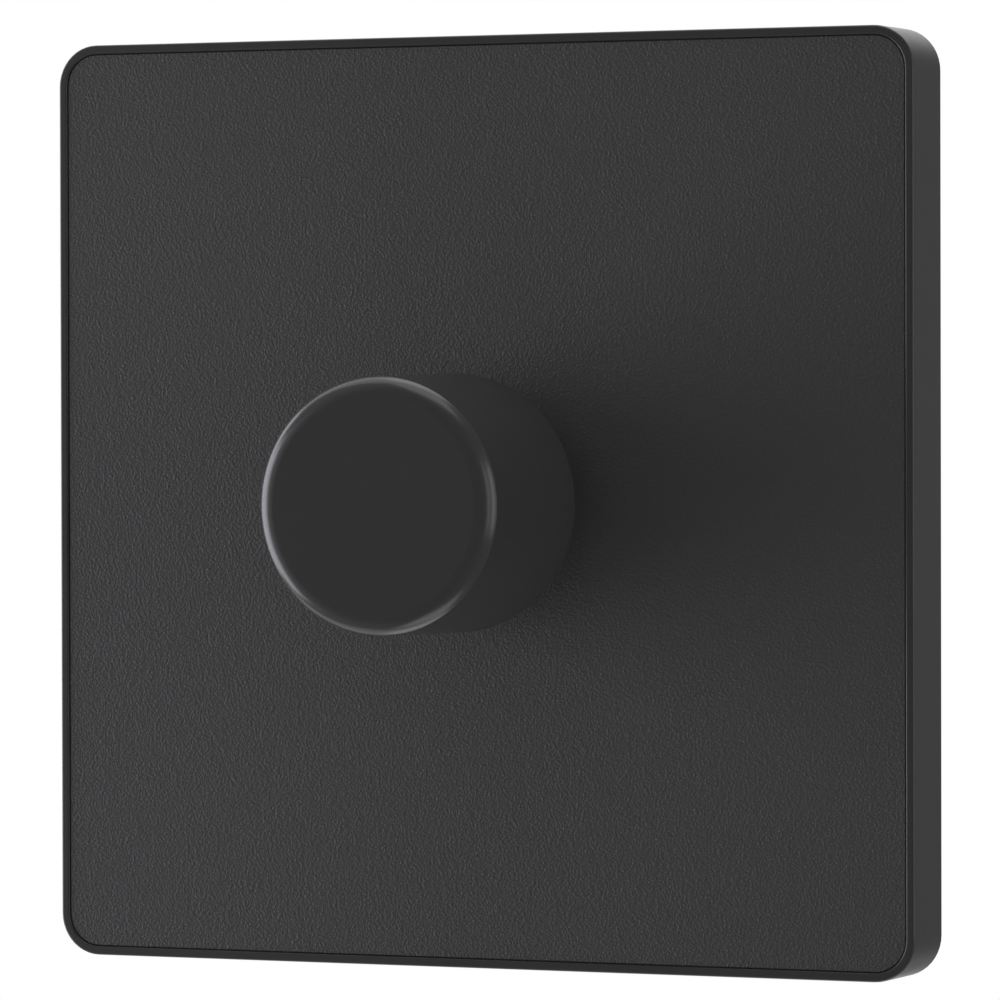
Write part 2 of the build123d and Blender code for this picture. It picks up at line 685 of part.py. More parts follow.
SWITCH_BACK = BOARD_FACE + 0.1
SWITCH_FLOOR = -13.2
SWITCH_R = 6.5
WEB_FACE = -8.5
WEB_BACK = -9.5
PLUNGER_R = 3.2
PLUNGER_FACE = SPINDLE_TIP - 0.1
PLUNGER_BACK = -11.0
PLUNGER_BORE_R = 2.4
PLUNGER_BORE_END = -8.1
FLANGE_R = 4.2
FLANGE_FACE = WEB_BACK - 0.1
CONTACT_FACE = -10.4
CONTACT_T = 0.4
CONTACT_R = 5.5
CONTACT_X = 4.4
POINT_R = 0.8
POINT_H = 0.25
STRIP_FACE = SWITCH_FLOOR + 0.4
TAIL_X = 9.4
TAIL_T = 0.4
TAIL_W = 0.8
STRIP_IN_X = 3.4
STRIP_OUT_X = TAIL_X + TAIL_T / 2
STRIP_W = 2.2
PIP_R = 1.2
PIP_H = 0.7

with BuildPart() as switch_housing:
    with BuildSketch(at_height(SWITCH_BACK)):
        RectangleRounded(CONTROL, CONTROL, 1.5)
    extrude(amount=CONTROL_BACK - SWITCH_BACK)
    with BuildSketch(at_height(SWITCH_FLOOR)):
        Circle(SWITCH_R)
    extrude(amount=CONTROL_BACK - SWITCH_FLOOR, mode=Mode.SUBTRACT)
    # web that guides the plunger, and pip that centres the spring
    with BuildSketch(at_height(WEB_BACK)):
        Circle(SWITCH_R + 0.2)
        Circle(PLUNGER_R + 0.08, mode=Mode.SUBTRACT)
    extrude(amount=WEB_FACE - WEB_BACK)
    with BuildSketch(at_height(SWITCH_FLOOR)):
        Circle(PIP_R)
    extrude(amount=PIP_H)
    # mouths for the two contact strips
    with BuildSketch(at_height(SWITCH_FLOOR)):
        with Locations((-8.0, 0), (8.0, 0)):
            Rectangle(4.0, 2.6)
    extrude(amount=0.5, mode=Mode.SUBTRACT)

switch_housing.part.label = "switch_housing"
export_step(switch_housing.part, "parts/switch_housing.step")

with BuildPart() as switch_plunger:
    with BuildSketch(at_height(PLUNGER_BACK)):
        Circle(PLUNGER_R)
    extrude(amount=PLUNGER_FACE - PLUNGER_BACK)
    with BuildSketch(at_height(CONTACT_FACE)):
        Circle(FLANGE_R)
    extrude(amount=FLANGE_FACE - CONTACT_FACE)
    with BuildSketch(at_height(PLUNGER_BACK)):
        Circle(PLUNGER_BORE_R)
    extrude(amount=PLUNGER_BORE_END - PLUNGER_BACK, mode=Mode.SUBTRACT)

switch_plunger.part.label = "switch_plunger"
export_step(switch_plunger.part, "parts/switch_plunger.step")

with BuildPart() as moving_contact:
    with BuildSketch(at_height(CONTACT_FACE - CONTACT_T)):
        Circle(CONTACT_R)
        Circle(PLUNGER_R + SOCKET_GAP, mode=Mode.SUBTRACT)
    extrude(amount=CONTACT_T)
    with BuildSketch(at_height(CONTACT_FACE - CONTACT_T)):
        with Locations((-CONTACT_X, 0), (CONTACT_X, 0)):
            Circle(POINT_R)
    extrude(amount=-POINT_H)

moving_contact.part.label = "moving_contact"
export_step(moving_contact.part, "parts/moving_contact.step")

with BuildPart() as fixed_contacts:
    for side in (-1, 1):
        with BuildSketch(at_height(SWITCH_FLOOR)):
            with Locations((side * (STRIP_OUT_X + STRIP_IN_X) / 2, 0)):
                Rectangle(STRIP_OUT_X - STRIP_IN_X, STRIP_W)
        extrude(amount=STRIP_FACE - SWITCH_FLOOR)
        with BuildSketch(at_height(STRIP_FACE)):
            with Locations((side * CONTACT_X, 0)):
                Circle(POINT_R + 0.1)
        extrude(amount=0.1)
        with BuildSketch(at_height(PIN_TIP)):
            with Locations((side * TAIL_X, 0)):
                Rectangle(TAIL_T, TAIL_W)
        extrude(amount=STRIP_FACE - PIN_TIP)

fixed_contacts.part.label = "fixed_contacts"
export_step(fixed_contacts.part, "parts/fixed_contacts.step")

SPRING_R = 1.85
SPRING_WIRE_R = 0.17
SPRING_PITCH = 0.95
SPRING_FOOT = SWITCH_FLOOR + SPRING_WIRE_R + 0.03
SPRING_HEAD = PLUNGER_BORE_END - SPRING_WIRE_R - 0.03

with BuildPart() as return_spring:
    with BuildLine():
        coil = Helix(
            pitch=SPRING_PITCH,
            height=SPRING_HEAD - SPRING_FOOT,
            radius=SPRING_R,
            center=(0, -SPRING_FOOT, 0),
            direction=(0, -1, 0),
        )
    with BuildSketch(Plane(origin=coil @ 0, z_dir=coil % 0)):
        Circle(SPRING_WIRE_R)
    sweep(is_frenet=True)

return_spring.part.label = "return_spring"
export_step(return_spring.part, "parts/return_spring.step")

# ---------------------------------------------------------------- triac on the heat sink

PAD_T = 0.3
TAB_T = 1.3
TAB_W = 10.0
TAB_TOP = 22.5
TRIAC_FOOT = 7.0
TAB_FACE = HEAT_SINK_BACK - PAD_T
TAB_BACK = TAB_FACE - TAB_T
TRIAC_LEAD_XS = [TRIAC_X - 2.54, TRIAC_X, TRIAC_X + 2.54]
TRIAC_LEAD_Z = 4.4
TRIAC_LEAD_T = 0.5
TRIAC_LEAD_FOOT = TRIAC_LEAD_Z - TRIAC_LEAD_T / 2
LEAD_FACE = -1.2
BODY_T = 3.1
BODY_L = 9.2
TRIAC_HEAD_R = 2.75
TRIAC_HEAD_H = 2.0
TRIAC_RECESS = 1.1
TRIAC_CROSS = (3.2, 0.7)

with BuildPart() as insulator_pad:
    with BuildSketch(at_height(TAB_FACE)):
        with Locations((TRIAC_X, (TAB_TOP + TRIAC_FOOT) / 2)):
            Rectangle(TAB_W + 1.5, TAB_TOP - TRIAC_FOOT + 1.5)
        with Locations((TRIAC_X, TRIAC_HOLE_Z)):
            Circle(TRIAC_SCREW_R + 0.2, mode=Mode.SUBTRACT)
    extrude(amount=PAD_T)

insulator_pad.part.label = "insulator_pad"
export_step(insulator_pad.part, "parts/insulator_pad.step")

with BuildPart() as triac_leadframe:
    with BuildSketch(at_height(TAB_BACK)):
        with Locations((TRIAC_X, (TAB_TOP + TRIAC_FOOT) / 2)):
            Rectangle(TAB_W, TAB_TOP - TRIAC_FOOT)
        with Locations((TRIAC_X, TRIAC_HOLE_Z)):
            Circle(TRIAC_SCREW_R + 0.3, mode=Mode.SUBTRACT)
    extrude(amount=TAB_T)
    # three leads that leave the foot and turn down into the board
    with BuildSketch(at_height(LEAD_FACE - TRIAC_LEAD_T)):
        with Locations(*[(x, (TRIAC_FOOT + TRIAC_LEAD_FOOT) / 2) for x in TRIAC_LEAD_XS]):
            Rectangle(0.8, TRIAC_FOOT - TRIAC_LEAD_FOOT)
    extrude(amount=TRIAC_LEAD_T)
    with BuildSketch(at_height(PIN_TIP)):
        with Locations(*[(x, TRIAC_LEAD_Z) for x in TRIAC_LEAD_XS]):
            Rectangle(0.6, TRIAC_LEAD_T)
    extrude(amount=LEAD_FACE - PIN_TIP)

triac_leadframe.part.label = "triac_leadframe"
export_step(triac_leadframe.part, "parts/triac_leadframe.step")

with BuildPart() as triac_body:
    with BuildSketch(at_height(TAB_BACK - BODY_T)):
        with Locations((TRIAC_X, TRIAC_FOOT + BODY_L / 2)):
            Rectangle(TAB_W, BODY_L)
    extrude(amount=BODY_T)
    chamfer(triac_body.faces().sort_by(Axis.Y)[-1].edges(), 0.3)

triac_body.part.label = "triac_body"
export_step(triac_body.part, "parts/triac_body.step")

with BuildPart() as triac_screw:
    with BuildSketch(at_height(TAB_BACK)):
        with Locations((TRIAC_X, TRIAC_HOLE_Z)):
            Circle(TRIAC_SCREW_R)
    extrude(amount=HEAT_SINK_FACE - 0.1 - TAB_BACK)
    with BuildSketch(at_height(TAB_BACK - TRIAC_HEAD_H)):
        with Locations((TRIAC_X, TRIAC_HOLE_Z)):
            Circle(TRIAC_HEAD_R)
    extrude(amount=TRIAC_HEAD_H)
    fillet(triac_screw.faces().sort_by(Axis.Y)[-1].edges(), 0.8)
    with BuildSketch(at_height(TAB_BACK - TRIAC_HEAD_H)):
        with Locations((TRIAC_X, TRIAC_HOLE_Z)):
            Rectangle(*TRIAC_CROSS)
            Rectangle(*TRIAC_CROSS, rotation=90)
    extrude(amount=TRIAC_RECESS, mode=Mode.SUBTRACT)

triac_screw.part.label = "triac_screw"
export_step(triac_screw.part, "parts/triac_screw.step")

# ---------------------------------------------------------------- choke

CHOKE_X = 12.4
CHOKE_Z = 15.0
CHOKE_MIDDLE = -8.6
CORE_IN = 3.4
CORE_OUT = 6.2
CORE_H = 6.0
TURN_T = 0.8
TURN_COUNT = 15
WINDING_GAP = 0.15
CHOKE_LEADS = [(CHOKE_X - 5.0, CHOKE_Z), (CHOKE_X + 5.0, CHOKE_Z)]

with BuildPart() as choke_core:
    with BuildSketch(at_height(CHOKE_MIDDLE - CORE_H / 2)):
        with Locations((CHOKE_X, CHOKE_Z)):
            Circle(CORE_OUT)
            Circle(CORE_IN, mode=Mode.SUBTRACT)
    extrude(amount=CORE_H)

choke_core.part.label = "choke_core"
export_step(choke_core.part, "parts/choke_core.step")

WINDING_W = CORE_OUT - CORE_IN + 2 * WINDING_GAP
WINDING_H = CORE_H + 2 * WINDING_GAP
WINDING_MIDDLE = (CORE_OUT + CORE_IN) / 2

with BuildPart() as choke_winding:
    for turn in range(TURN_COUNT):
        angle = (turn + 0.5) * 360 / TURN_COUNT
        turn_axis = Vector(1, 0, 0).rotate(Axis.Y, angle)
        turn_origin = Vector(CHOKE_X, -CHOKE_MIDDLE, CHOKE_Z) + turn_axis * WINDING_MIDDLE
        turn_plane = Plane(origin=turn_origin, x_dir=turn_axis, z_dir=turn_axis.cross(Vector(0, 1, 0)))
        with BuildSketch(turn_plane):
            RectangleRounded(WINDING_W + 2 * TURN_T, WINDING_H + 2 * TURN_T, TURN_T)
            Rectangle(WINDING_W, WINDING_H, mode=Mode.SUBTRACT)
        extrude(amount=TURN_T / 2, both=True)
    with BuildSketch(at_height(PIN_TIP)):
        with Locations(*CHOKE_LEADS):
            Circle(PIN_R)
    extrude(amount=CHOKE_MIDDLE - WINDING_H / 2 - TURN_T / 2 - PIN_TIP)

choke_winding.part.label = "choke_winding"
export_step(choke_winding.part, "parts/choke_winding.step")

# ---------------------------------------------------------------- small components

STAND_OFF = 0.3
DROP_R = 0.3
FOOT = BOARD_FACE + STAND_OFF

SUPPRESSOR_X = 14.5
SUPPRESSOR_Z = -2.5
SUPPRESSOR_LEADS = [(SUPPRESSOR_X, SUPPRESSOR_Z - 7.5), (SUPPRESSOR_X, SUPPRESSOR_Z + 7.5)]

with BuildPart() as suppression_capacitor:
    with BuildSketch(at_height(FOOT)):
        with Locations((SUPPRESSOR_X, SUPPRESSOR_Z)):
            Rectangle(7.0, 18.0)
    extrude(amount=12.0)
    chamfer(suppression_capacitor.faces().sort_by(Axis.Y)[0].edges(), 0.5)
    with BuildSketch(at_height(PIN_TIP)):
        with Locations(*SUPPRESSOR_LEADS):
            Circle(PIN_R)
    extrude(amount=FOOT - PIN_TIP)

suppression_capacitor.part.label = "suppression_capacitor"
export_step(suppression_capacitor.part, "parts/suppression_capacitor.step")

TIMING_X = -5.0
TIMING_Z = -14.0
TIMING_LEADS = [(TIMING_X - 2.5, TIMING_Z), (TIMING_X + 2.5, TIMING_Z)]

with BuildPart() as timing_capacitor:
    with BuildSketch(at_height(FOOT)):
        with Locations((TIMING_X, TIMING_Z)):
            Rectangle(7.2, 3.0)
    extrude(amount=6.5)
    fillet(timing_capacitor.faces().sort_by(Axis.Y)[0].edges(), 0.6)
    with BuildSketch(at_height(FLUSH_TIP)):
        with Locations(*TIMING_LEADS):
            Circle(PIN_R)
    extrude(amount=FOOT - FLUSH_TIP)

timing_capacitor.part.label = "timing_capacitor"
export_step(timing_capacitor.part, "parts/timing_capacitor.step")

SUPPLY_X = -3.0
SUPPLY_Z = 15.0
SUPPLY_R = 2.5
SUPPLY_H = 11.0
SUPPLY_SCORE = (3.6, 0.25)
SUPPLY_LEADS = [(SUPPLY_X - 1.0, SUPPLY_Z), (SUPPLY_X + 1.0, SUPPLY_Z)]

with BuildPart() as supply_capacitor:
    # a can with the crimp groove near its foot, scored across its top
    for foot, top, radius in ((0, 1.2, SUPPLY_R), (1.2, 2.0, SUPPLY_R - 0.25), (2.0, SUPPLY_H, SUPPLY_R)):
        with BuildSketch(at_height(FOOT + foot)):
            with Locations((SUPPLY_X, SUPPLY_Z)):
                Circle(radius)
        extrude(amount=top - foot)
    fillet(supply_capacitor.faces().sort_by(Axis.Y)[0].edges(), 0.4)
    with BuildSketch(at_height(FOOT + SUPPLY_H)):
        with Locations((SUPPLY_X, SUPPLY_Z)):
            Rectangle(*SUPPLY_SCORE)
            Rectangle(*SUPPLY_SCORE, rotation=90)
    extrude(amount=-0.15, mode=Mode.SUBTRACT)
    with BuildSketch(at_height(PIN_TIP)):
        with Locations(*SUPPLY_LEADS):
            Circle(PIN_R)
    extrude(amount=FOOT - PIN_TIP)

supply_capacitor.part.label = "supply_capacitor"
export_step(supply_capacitor.part, "parts/supply_capacitor.step")

CHIP_X = -6.0
CHIP_Z = -20.8
CHIP_L = 4.9
CHIP_W = 3.9
CHIP_T = 1.5
CHIP_PITCH = 1.27
CHIP_LEAD_W = 0.42
CHIP_LEAD_T = 0.2
CHIP_SPAN = 6.0
CHIP_FOOT = BOARD_FACE + 0.02

with BuildPart() as control_chip:
    with BuildSketch(at_height(CHIP_FOOT + 0.1)):
        with Locations((CHIP_X, CHIP_Z)):
            Rectangle(CHIP_L, CHIP_W)
    extrude(amount=CHIP_T)
    chamfer(control_chip.faces().sort_by(Axis.Y)[0].edges(), 0.15)
    # eight gull-wing leads, four along each long side
    for row in range(4):
        for side in (-1, 1):
            knee = CHIP_FOOT + CHIP_T / 2
            with BuildSketch(across(CHIP_X + (row - 1.5) * CHIP_PITCH - CHIP_LEAD_W / 2)):
                with BuildLine():
                    Polyline(
                        (-knee - CHIP_LEAD_T, CHIP_Z + side * (CHIP_W / 2 - 0.1)),
                        (-knee - CHIP_LEAD_T, CHIP_Z + side * (CHIP_W / 2 + 0.4)),
                        (-CHIP_FOOT - CHIP_LEAD_T, CHIP_Z + side * (CHIP_W / 2 + 0.6)),
                        (-CHIP_FOOT - CHIP_LEAD_T, CHIP_Z + side * CHIP_SPAN / 2),
                        (-CHIP_FOOT, CHIP_Z + side * CHIP_SPAN / 2),
                        (-CHIP_FOOT, CHIP_Z + side * (CHIP_W / 2 + 0.45)),
                        (-knee, CHIP_Z + side * (CHIP_W / 2 + 0.25)),
                        (-knee, CHIP_Z + side * (CHIP_W / 2 - 0.1)),
                        close=True,
                    )
                make_face()
            extrude(amount=CHIP_LEAD_W)

control_chip.part.label = "control_chip"
export_step(control_chip.part, "parts/control_chip.step")

RESISTOR_R = 1.2
RESISTOR_X = 5.5
RESISTOR_ZS = [-12.4, -15.4, -22.0]
RESISTOR_LEADS = [(RESISTOR_X + dx, z) for z in RESISTOR_ZS for dx in (-5.0, 5.0)]

with BuildPart() as resistors:
    for z in RESISTOR_ZS:
        with BuildSketch(across(RESISTOR_X - 3.2)):
            with Locations((-FOOT - RESISTOR_R, z)):
                Circle(RESISTOR_R)
        extrude(amount=6.4)
        with BuildSketch(across(RESISTOR_X - 5.0)):
            with Locations((-FOOT - RESISTOR_R, z)):
                Circle(PIN_R)
        extrude(amount=10.0)
    with BuildSketch(at_height(FLUSH_TIP)):
        with Locations(*RESISTOR_LEADS):
            Circle(DROP_R)
    extrude(amount=FOOT + RESISTOR_R - FLUSH_TIP)

resistors.part.label = "resistors"
export_step(resistors.part, "parts/resistors.step")

# ---------------------------------------------------------------- fuse, its caps and clips

FUSE_X = -16.0
FUSE_Z = -8.5
FUSE_L = 20.0
FUSE_R = 2.5
CAP_L = 5.0
FUSE_HEIGHT = FOOT + FUSE_R + 0.8
CLIP_ZS = [FUSE_Z - FUSE_L / 2 + CAP_L / 2, FUSE_Z + FUSE_L / 2 - CAP_L / 2]
FUSE_LEADS = [(FUSE_X, z) for z in CLIP_ZS]

with BuildPart() as fuse_tube:
    with BuildSketch(Plane.XY.offset(FUSE_Z - FUSE_L / 2 + 1.0)):
        with Locations((FUSE_X, -FUSE_HEIGHT)):
            Circle(FUSE_R - 0.3)
    extrude(amount=FUSE_L - 2.0)

fuse_tube.part.label = "fuse_tube"
export_step(fuse_tube.part, "parts/fuse_tube.step")

with BuildPart() as fuse_caps:
    for z in (FUSE_Z - FUSE_L / 2, FUSE_Z + FUSE_L / 2 - CAP_L):
        with BuildSketch(Plane.XY.offset(z)):
            with Locations((FUSE_X, -FUSE_HEIGHT)):
                Circle(FUSE_R)
        extrude(amount=CAP_L)
    with BuildSketch(Plane.XY.offset(FUSE_Z - FUSE_L / 2 + 1.0)):
        with Locations((FUSE_X, -FUSE_HEIGHT)):
            Circle(FUSE_R - 0.27)
    extrude(amount=FUSE_L - 2.0, mode=Mode.SUBTRACT)

fuse_caps.part.label = "fuse_caps"
export_step(fuse_caps.part, "parts/fuse_caps.step")

with BuildPart() as fuse_clips:
    for z in CLIP_ZS:
        with BuildSketch(Plane.XY.offset(z - 1.8)):
            with Locations((FUSE_X, -FUSE_HEIGHT)):
                Circle(FUSE_R + 0.45)
                Circle(FUSE_R + 0.04, mode=Mode.SUBTRACT)
                with Locations((0, -FUSE_R - 1.5)):
                    Rectangle(4 * FUSE_R, 3.0 * FUSE_R - 1.5, mode=Mode.SUBTRACT)
        extrude(amount=3.6)
    with BuildSketch(at_height(FLUSH_TIP)):
        with Locations(*FUSE_LEADS):
            Circle(PIN_R)
    extrude(amount=FUSE_HEIGHT - FUSE_R - 0.2 - FLUSH_TIP)

fuse_clips.part.label = "fuse_clips"
export_step(fuse_clips.part, "parts/fuse_clips.step")

# ---------------------------------------------------------------- terminals

BLOCK_FACE = BOARD_BACK
CAGE_X = 6.6
CAGE_Z = 6.4
CAGE_MIDDLE_Z = -19.2
CAGE_FACE = -16.2
CAGE_BACK = -23.0
WELL_R = 2.5
CAGES = [(x, CAGE_MIDDLE_Z) for x in TERMINAL_XS]

with BuildPart() as terminal_block:
    with BuildSketch(at_height(CASE_BACK)):
        with Locations((0, (BLOCK_TOP + BLOCK_FOOT) / 2)):
            Rectangle(BLOCK_X, BLOCK_TOP - BLOCK_FOOT)
    extrude(amount=BLOCK_FACE - CASE_BACK)
    chamfer(terminal_block.faces().sort_by(Axis.Y)[-1].edges(), 0.3)
    # pockets that take the cages from the board side
    with BuildSketch(at_height(CAGE_BACK - 0.1)):
        with Locations(*CAGES):
            Rectangle(CAGE_X + 0.2, CAGE_Z + 0.2)
    extrude(amount=BLOCK_FACE - CAGE_BACK + 0.1, mode=Mode.SUBTRACT)
    # screw wells in the back and wire mouths in the foot
    with BuildSketch(at_height(CASE_BACK)):
        with Locations(*CAGES):
            Circle(WELL_R)
    extrude(amount=CAGE_BACK - CASE_BACK, mode=Mode.SUBTRACT)
    with BuildSketch(Plane.XY.offset(BLOCK_FOOT)):
        with Locations(*[(x, -WIRE_HEIGHT) for x in TERMINAL_XS]):
            Circle(WIRE_R)
    extrude(amount=CAGE_MIDDLE_Z - CAGE_Z / 2 - BLOCK_FOOT, mode=Mode.SUBTRACT)

terminal_block.part.label = "terminal_block"
export_step(terminal_block.part, "parts/terminal_block.step")

with BuildPart() as terminal_cages:
    with BuildSketch(at_height(CAGE_BACK)):
        with Locations(*CAGES):
            Rectangle(CAGE_X, CAGE_Z)
    extrude(amount=CAGE_FACE - CAGE_BACK)
    with BuildSketch(Plane.XY.offset(CAGE_MIDDLE_Z - CAGE_Z / 2)):
        with Locations(*[(x, -WIRE_HEIGHT) for x in TERMINAL_XS]):
            Circle(CAGE_BORE_R)
    extrude(amount=CAGE_Z, mode=Mode.SUBTRACT)
    with BuildSketch(at_height(CAGE_BACK)):
        with Locations(*CAGES):
            Circle(CLAMP_SCREW_R + RUNNING)
    extrude(amount=WIRE_HEIGHT - CAGE_BACK, mode=Mode.SUBTRACT)
    # solder pins through the board
    with BuildSketch(at_height(CAGE_FACE)):
        with Locations(*CAGES):
            Rectangle(2.0, 0.8)
    extrude(amount=BOARD_FACE + 1.0 - CAGE_FACE)

terminal_cages.part.label = "terminal_cages"
export_step(terminal_cages.part, "parts/terminal_cages.step")

CLAMP_HEAD_R = 2.3
CLAMP_HEAD_H = 1.0
CLAMP_HEAD_FACE = CAGE_BACK - 0.1
CLAMP_SLOT_DEPTH = 0.6
CLAMP_REACH = CAGE_BORE_R + 0.15
CLAMP_TIP = WIRE_HEIGHT - CLAMP_REACH

with BuildPart() as terminal_screws:
    with BuildSketch(at_height(CLAMP_HEAD_FACE)):
        with Locations(*CAGES):
            Circle(CLAMP_SCREW_R)
    extrude(amount=CLAMP_TIP - CLAMP_HEAD_FACE)
    with BuildSketch(at_height(CLAMP_HEAD_FACE - CLAMP_HEAD_H)):
        with Locations(*CAGES):
            Circle(CLAMP_HEAD_R)
    extrude(amount=CLAMP_HEAD_H)
    with BuildSketch(at_height(CLAMP_HEAD_FACE - CLAMP_HEAD_H)):
        with Locations(*CAGES):
            Rectangle(2 * CLAMP_HEAD_R, 0.7)
    extrude(amount=CLAMP_SLOT_DEPTH, mode=Mode.SUBTRACT)

terminal_screws.part.label = "terminal_screws"
export_step(terminal_screws.part, "parts/terminal_screws.step")

EARTH_W = 6.4
EARTH_L = 7.0
EARTH_BACK = -7.0
EARTH_BORE_H = -2.6
EARTH_HEAD_R = 2.6
EARTH_HEAD_H = 1.6
EARTH_HEAD_FACE = EARTH_BACK - 0.6
RIVET_HEAD_R = RIVET_R + 0.8
RIVET_HEAD_H = 0.5

with BuildPart() as earth_terminal:
    with BuildSketch(at_height(EARTH_BACK)):
        with Locations((EARTH_X, EARTH_Z)):
            Rectangle(EARTH_W, EARTH_L)
    extrude(amount=YOKE_BACK - EARTH_BACK)
    # peened rivet that holds the block to the yoke
    with BuildSketch(at_height(YOKE_BACK)):
        with Locations((EARTH_X, EARTH_Z)):
            Circle(RIVET_R)
    extrude(amount=STEEL_T)
    with BuildSketch(at_height(YOKE_FACE)):
        with Locations((EARTH_X, EARTH_Z)):
            Circle(RIVET_HEAD_R)
    extrude(amount=RIVET_HEAD_H)
    with BuildSketch(Plane.XY.offset(EARTH_Z - EARTH_L / 2)):
        with Locations((EARTH_X, -EARTH_BORE_H)):
            Circle(CAGE_BORE_R)
    extrude(amount=EARTH_L, mode=Mode.SUBTRACT)
    with BuildSketch(at_height(EARTH_BACK)):
        with Locations((EARTH_X, EARTH_Z)):
            Circle(CLAMP_SCREW_R + RUNNING)
    extrude(amount=EARTH_BORE_H - EARTH_BACK, mode=Mode.SUBTRACT)

earth_terminal.part.label = "earth_terminal"
export_step(earth_terminal.part, "parts/earth_terminal.step")

with BuildPart() as earth_screw:
    with BuildSketch(at_height(EARTH_HEAD_FACE)):
        with Locations((EARTH_X, EARTH_Z)):
            Circle(CLAMP_SCREW_R)
    extrude(amount=EARTH_BORE_H - CLAMP_REACH - EARTH_HEAD_FACE)
    with BuildSketch(at_height(EARTH_HEAD_FACE - EARTH_HEAD_H)):
        with Locations((EARTH_X, EARTH_Z)):
            Circle(EARTH_HEAD_R)
    extrude(amount=EARTH_HEAD_H)
    with BuildSketch(at_height(EARTH_HEAD_FACE - EARTH_HEAD_H)):
        with Locations((EARTH_X, EARTH_Z)):
            Rectangle(3 * EARTH_HEAD_R, 0.8)
    extrude(amount=CLAMP_SLOT_DEPTH, mode=Mode.SUBTRACT)

earth_screw.part.label = "earth_screw"
export_step(earth_screw.part, "parts/earth_screw.step")

# ---------------------------------------------------------------- circuit board

ROUND_LEADS = (
    CHOKE_LEADS + SUPPRESSOR_LEADS + TIMING_LEADS + SUPPLY_LEADS + RESISTOR_LEADS + FUSE_LEADS
)
FLAT_LEADS = (
    [(x, TRIAC_LEAD_Z) for x in TRIAC_LEAD_XS]
    + [(x, TAG_Z) for x in TAG_XS]
    + [(-TAIL_X, 0), (TAIL_X, 0)]
)

with BuildPart() as circuit_board:
    with BuildSketch(at_height(BOARD_BACK)):
        RectangleRounded(MODULE_X - 2 * CASE_WALL - 0.6, MODULE_Z - 2 * CASE_WALL - 0.6, 1.0)
        with Locations(*CORNER_SCREWS):
            Circle(BOSS_R + 0.3, mode=Mode.SUBTRACT)
        # the two board corners beyond the bosses would be loose slivers
        with Locations(*[(x * 1.1, z * 1.1) for x, z in CORNER_SCREWS]):
            Rectangle(6.0, 6.0, mode=Mode.SUBTRACT)
        with Locations(*ROUND_LEADS):
            Circle(PIN_HOLE_R, mode=Mode.SUBTRACT)
        with Locations(*FLAT_LEADS):
            Circle(0.75, mode=Mode.SUBTRACT)
        with Locations(*CAGES):
            Rectangle(2.3, 1.1, mode=Mode.SUBTRACT)
    extrude(amount=BOARD_T)

circuit_board.part.label = "circuit_board"
export_step(circuit_board.part, "parts/circuit_board.step")
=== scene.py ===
import json
import math
import bmesh
import bpy
from mathutils import Matrix, Vector


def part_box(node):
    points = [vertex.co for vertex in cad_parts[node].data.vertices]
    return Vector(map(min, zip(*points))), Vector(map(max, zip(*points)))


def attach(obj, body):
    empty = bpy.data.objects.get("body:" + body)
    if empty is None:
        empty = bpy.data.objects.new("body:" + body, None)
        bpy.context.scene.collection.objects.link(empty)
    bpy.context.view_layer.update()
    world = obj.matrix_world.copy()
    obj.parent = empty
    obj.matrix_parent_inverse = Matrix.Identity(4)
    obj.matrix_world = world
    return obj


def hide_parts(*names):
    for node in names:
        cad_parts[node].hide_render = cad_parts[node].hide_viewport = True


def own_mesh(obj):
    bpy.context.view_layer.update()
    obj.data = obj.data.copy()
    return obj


# A rotary push on/off dimmer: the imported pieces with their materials, four of them drawn
# finer, and a plain soft studio round them.  Metres; the room is on the -Y side.

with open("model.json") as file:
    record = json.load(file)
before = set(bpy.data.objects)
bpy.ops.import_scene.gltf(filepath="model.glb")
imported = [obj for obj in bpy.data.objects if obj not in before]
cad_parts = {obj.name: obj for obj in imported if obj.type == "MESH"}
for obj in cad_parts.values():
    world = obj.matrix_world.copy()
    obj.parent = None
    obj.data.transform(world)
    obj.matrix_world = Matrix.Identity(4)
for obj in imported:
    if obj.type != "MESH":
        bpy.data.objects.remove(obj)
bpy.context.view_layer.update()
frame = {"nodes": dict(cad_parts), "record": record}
nodes = frame["nodes"]

MM = 0.001


# ---------------------------------------------------------------- node helpers

NOISE_LOW, NOISE_HIGH = 0.3, 0.7


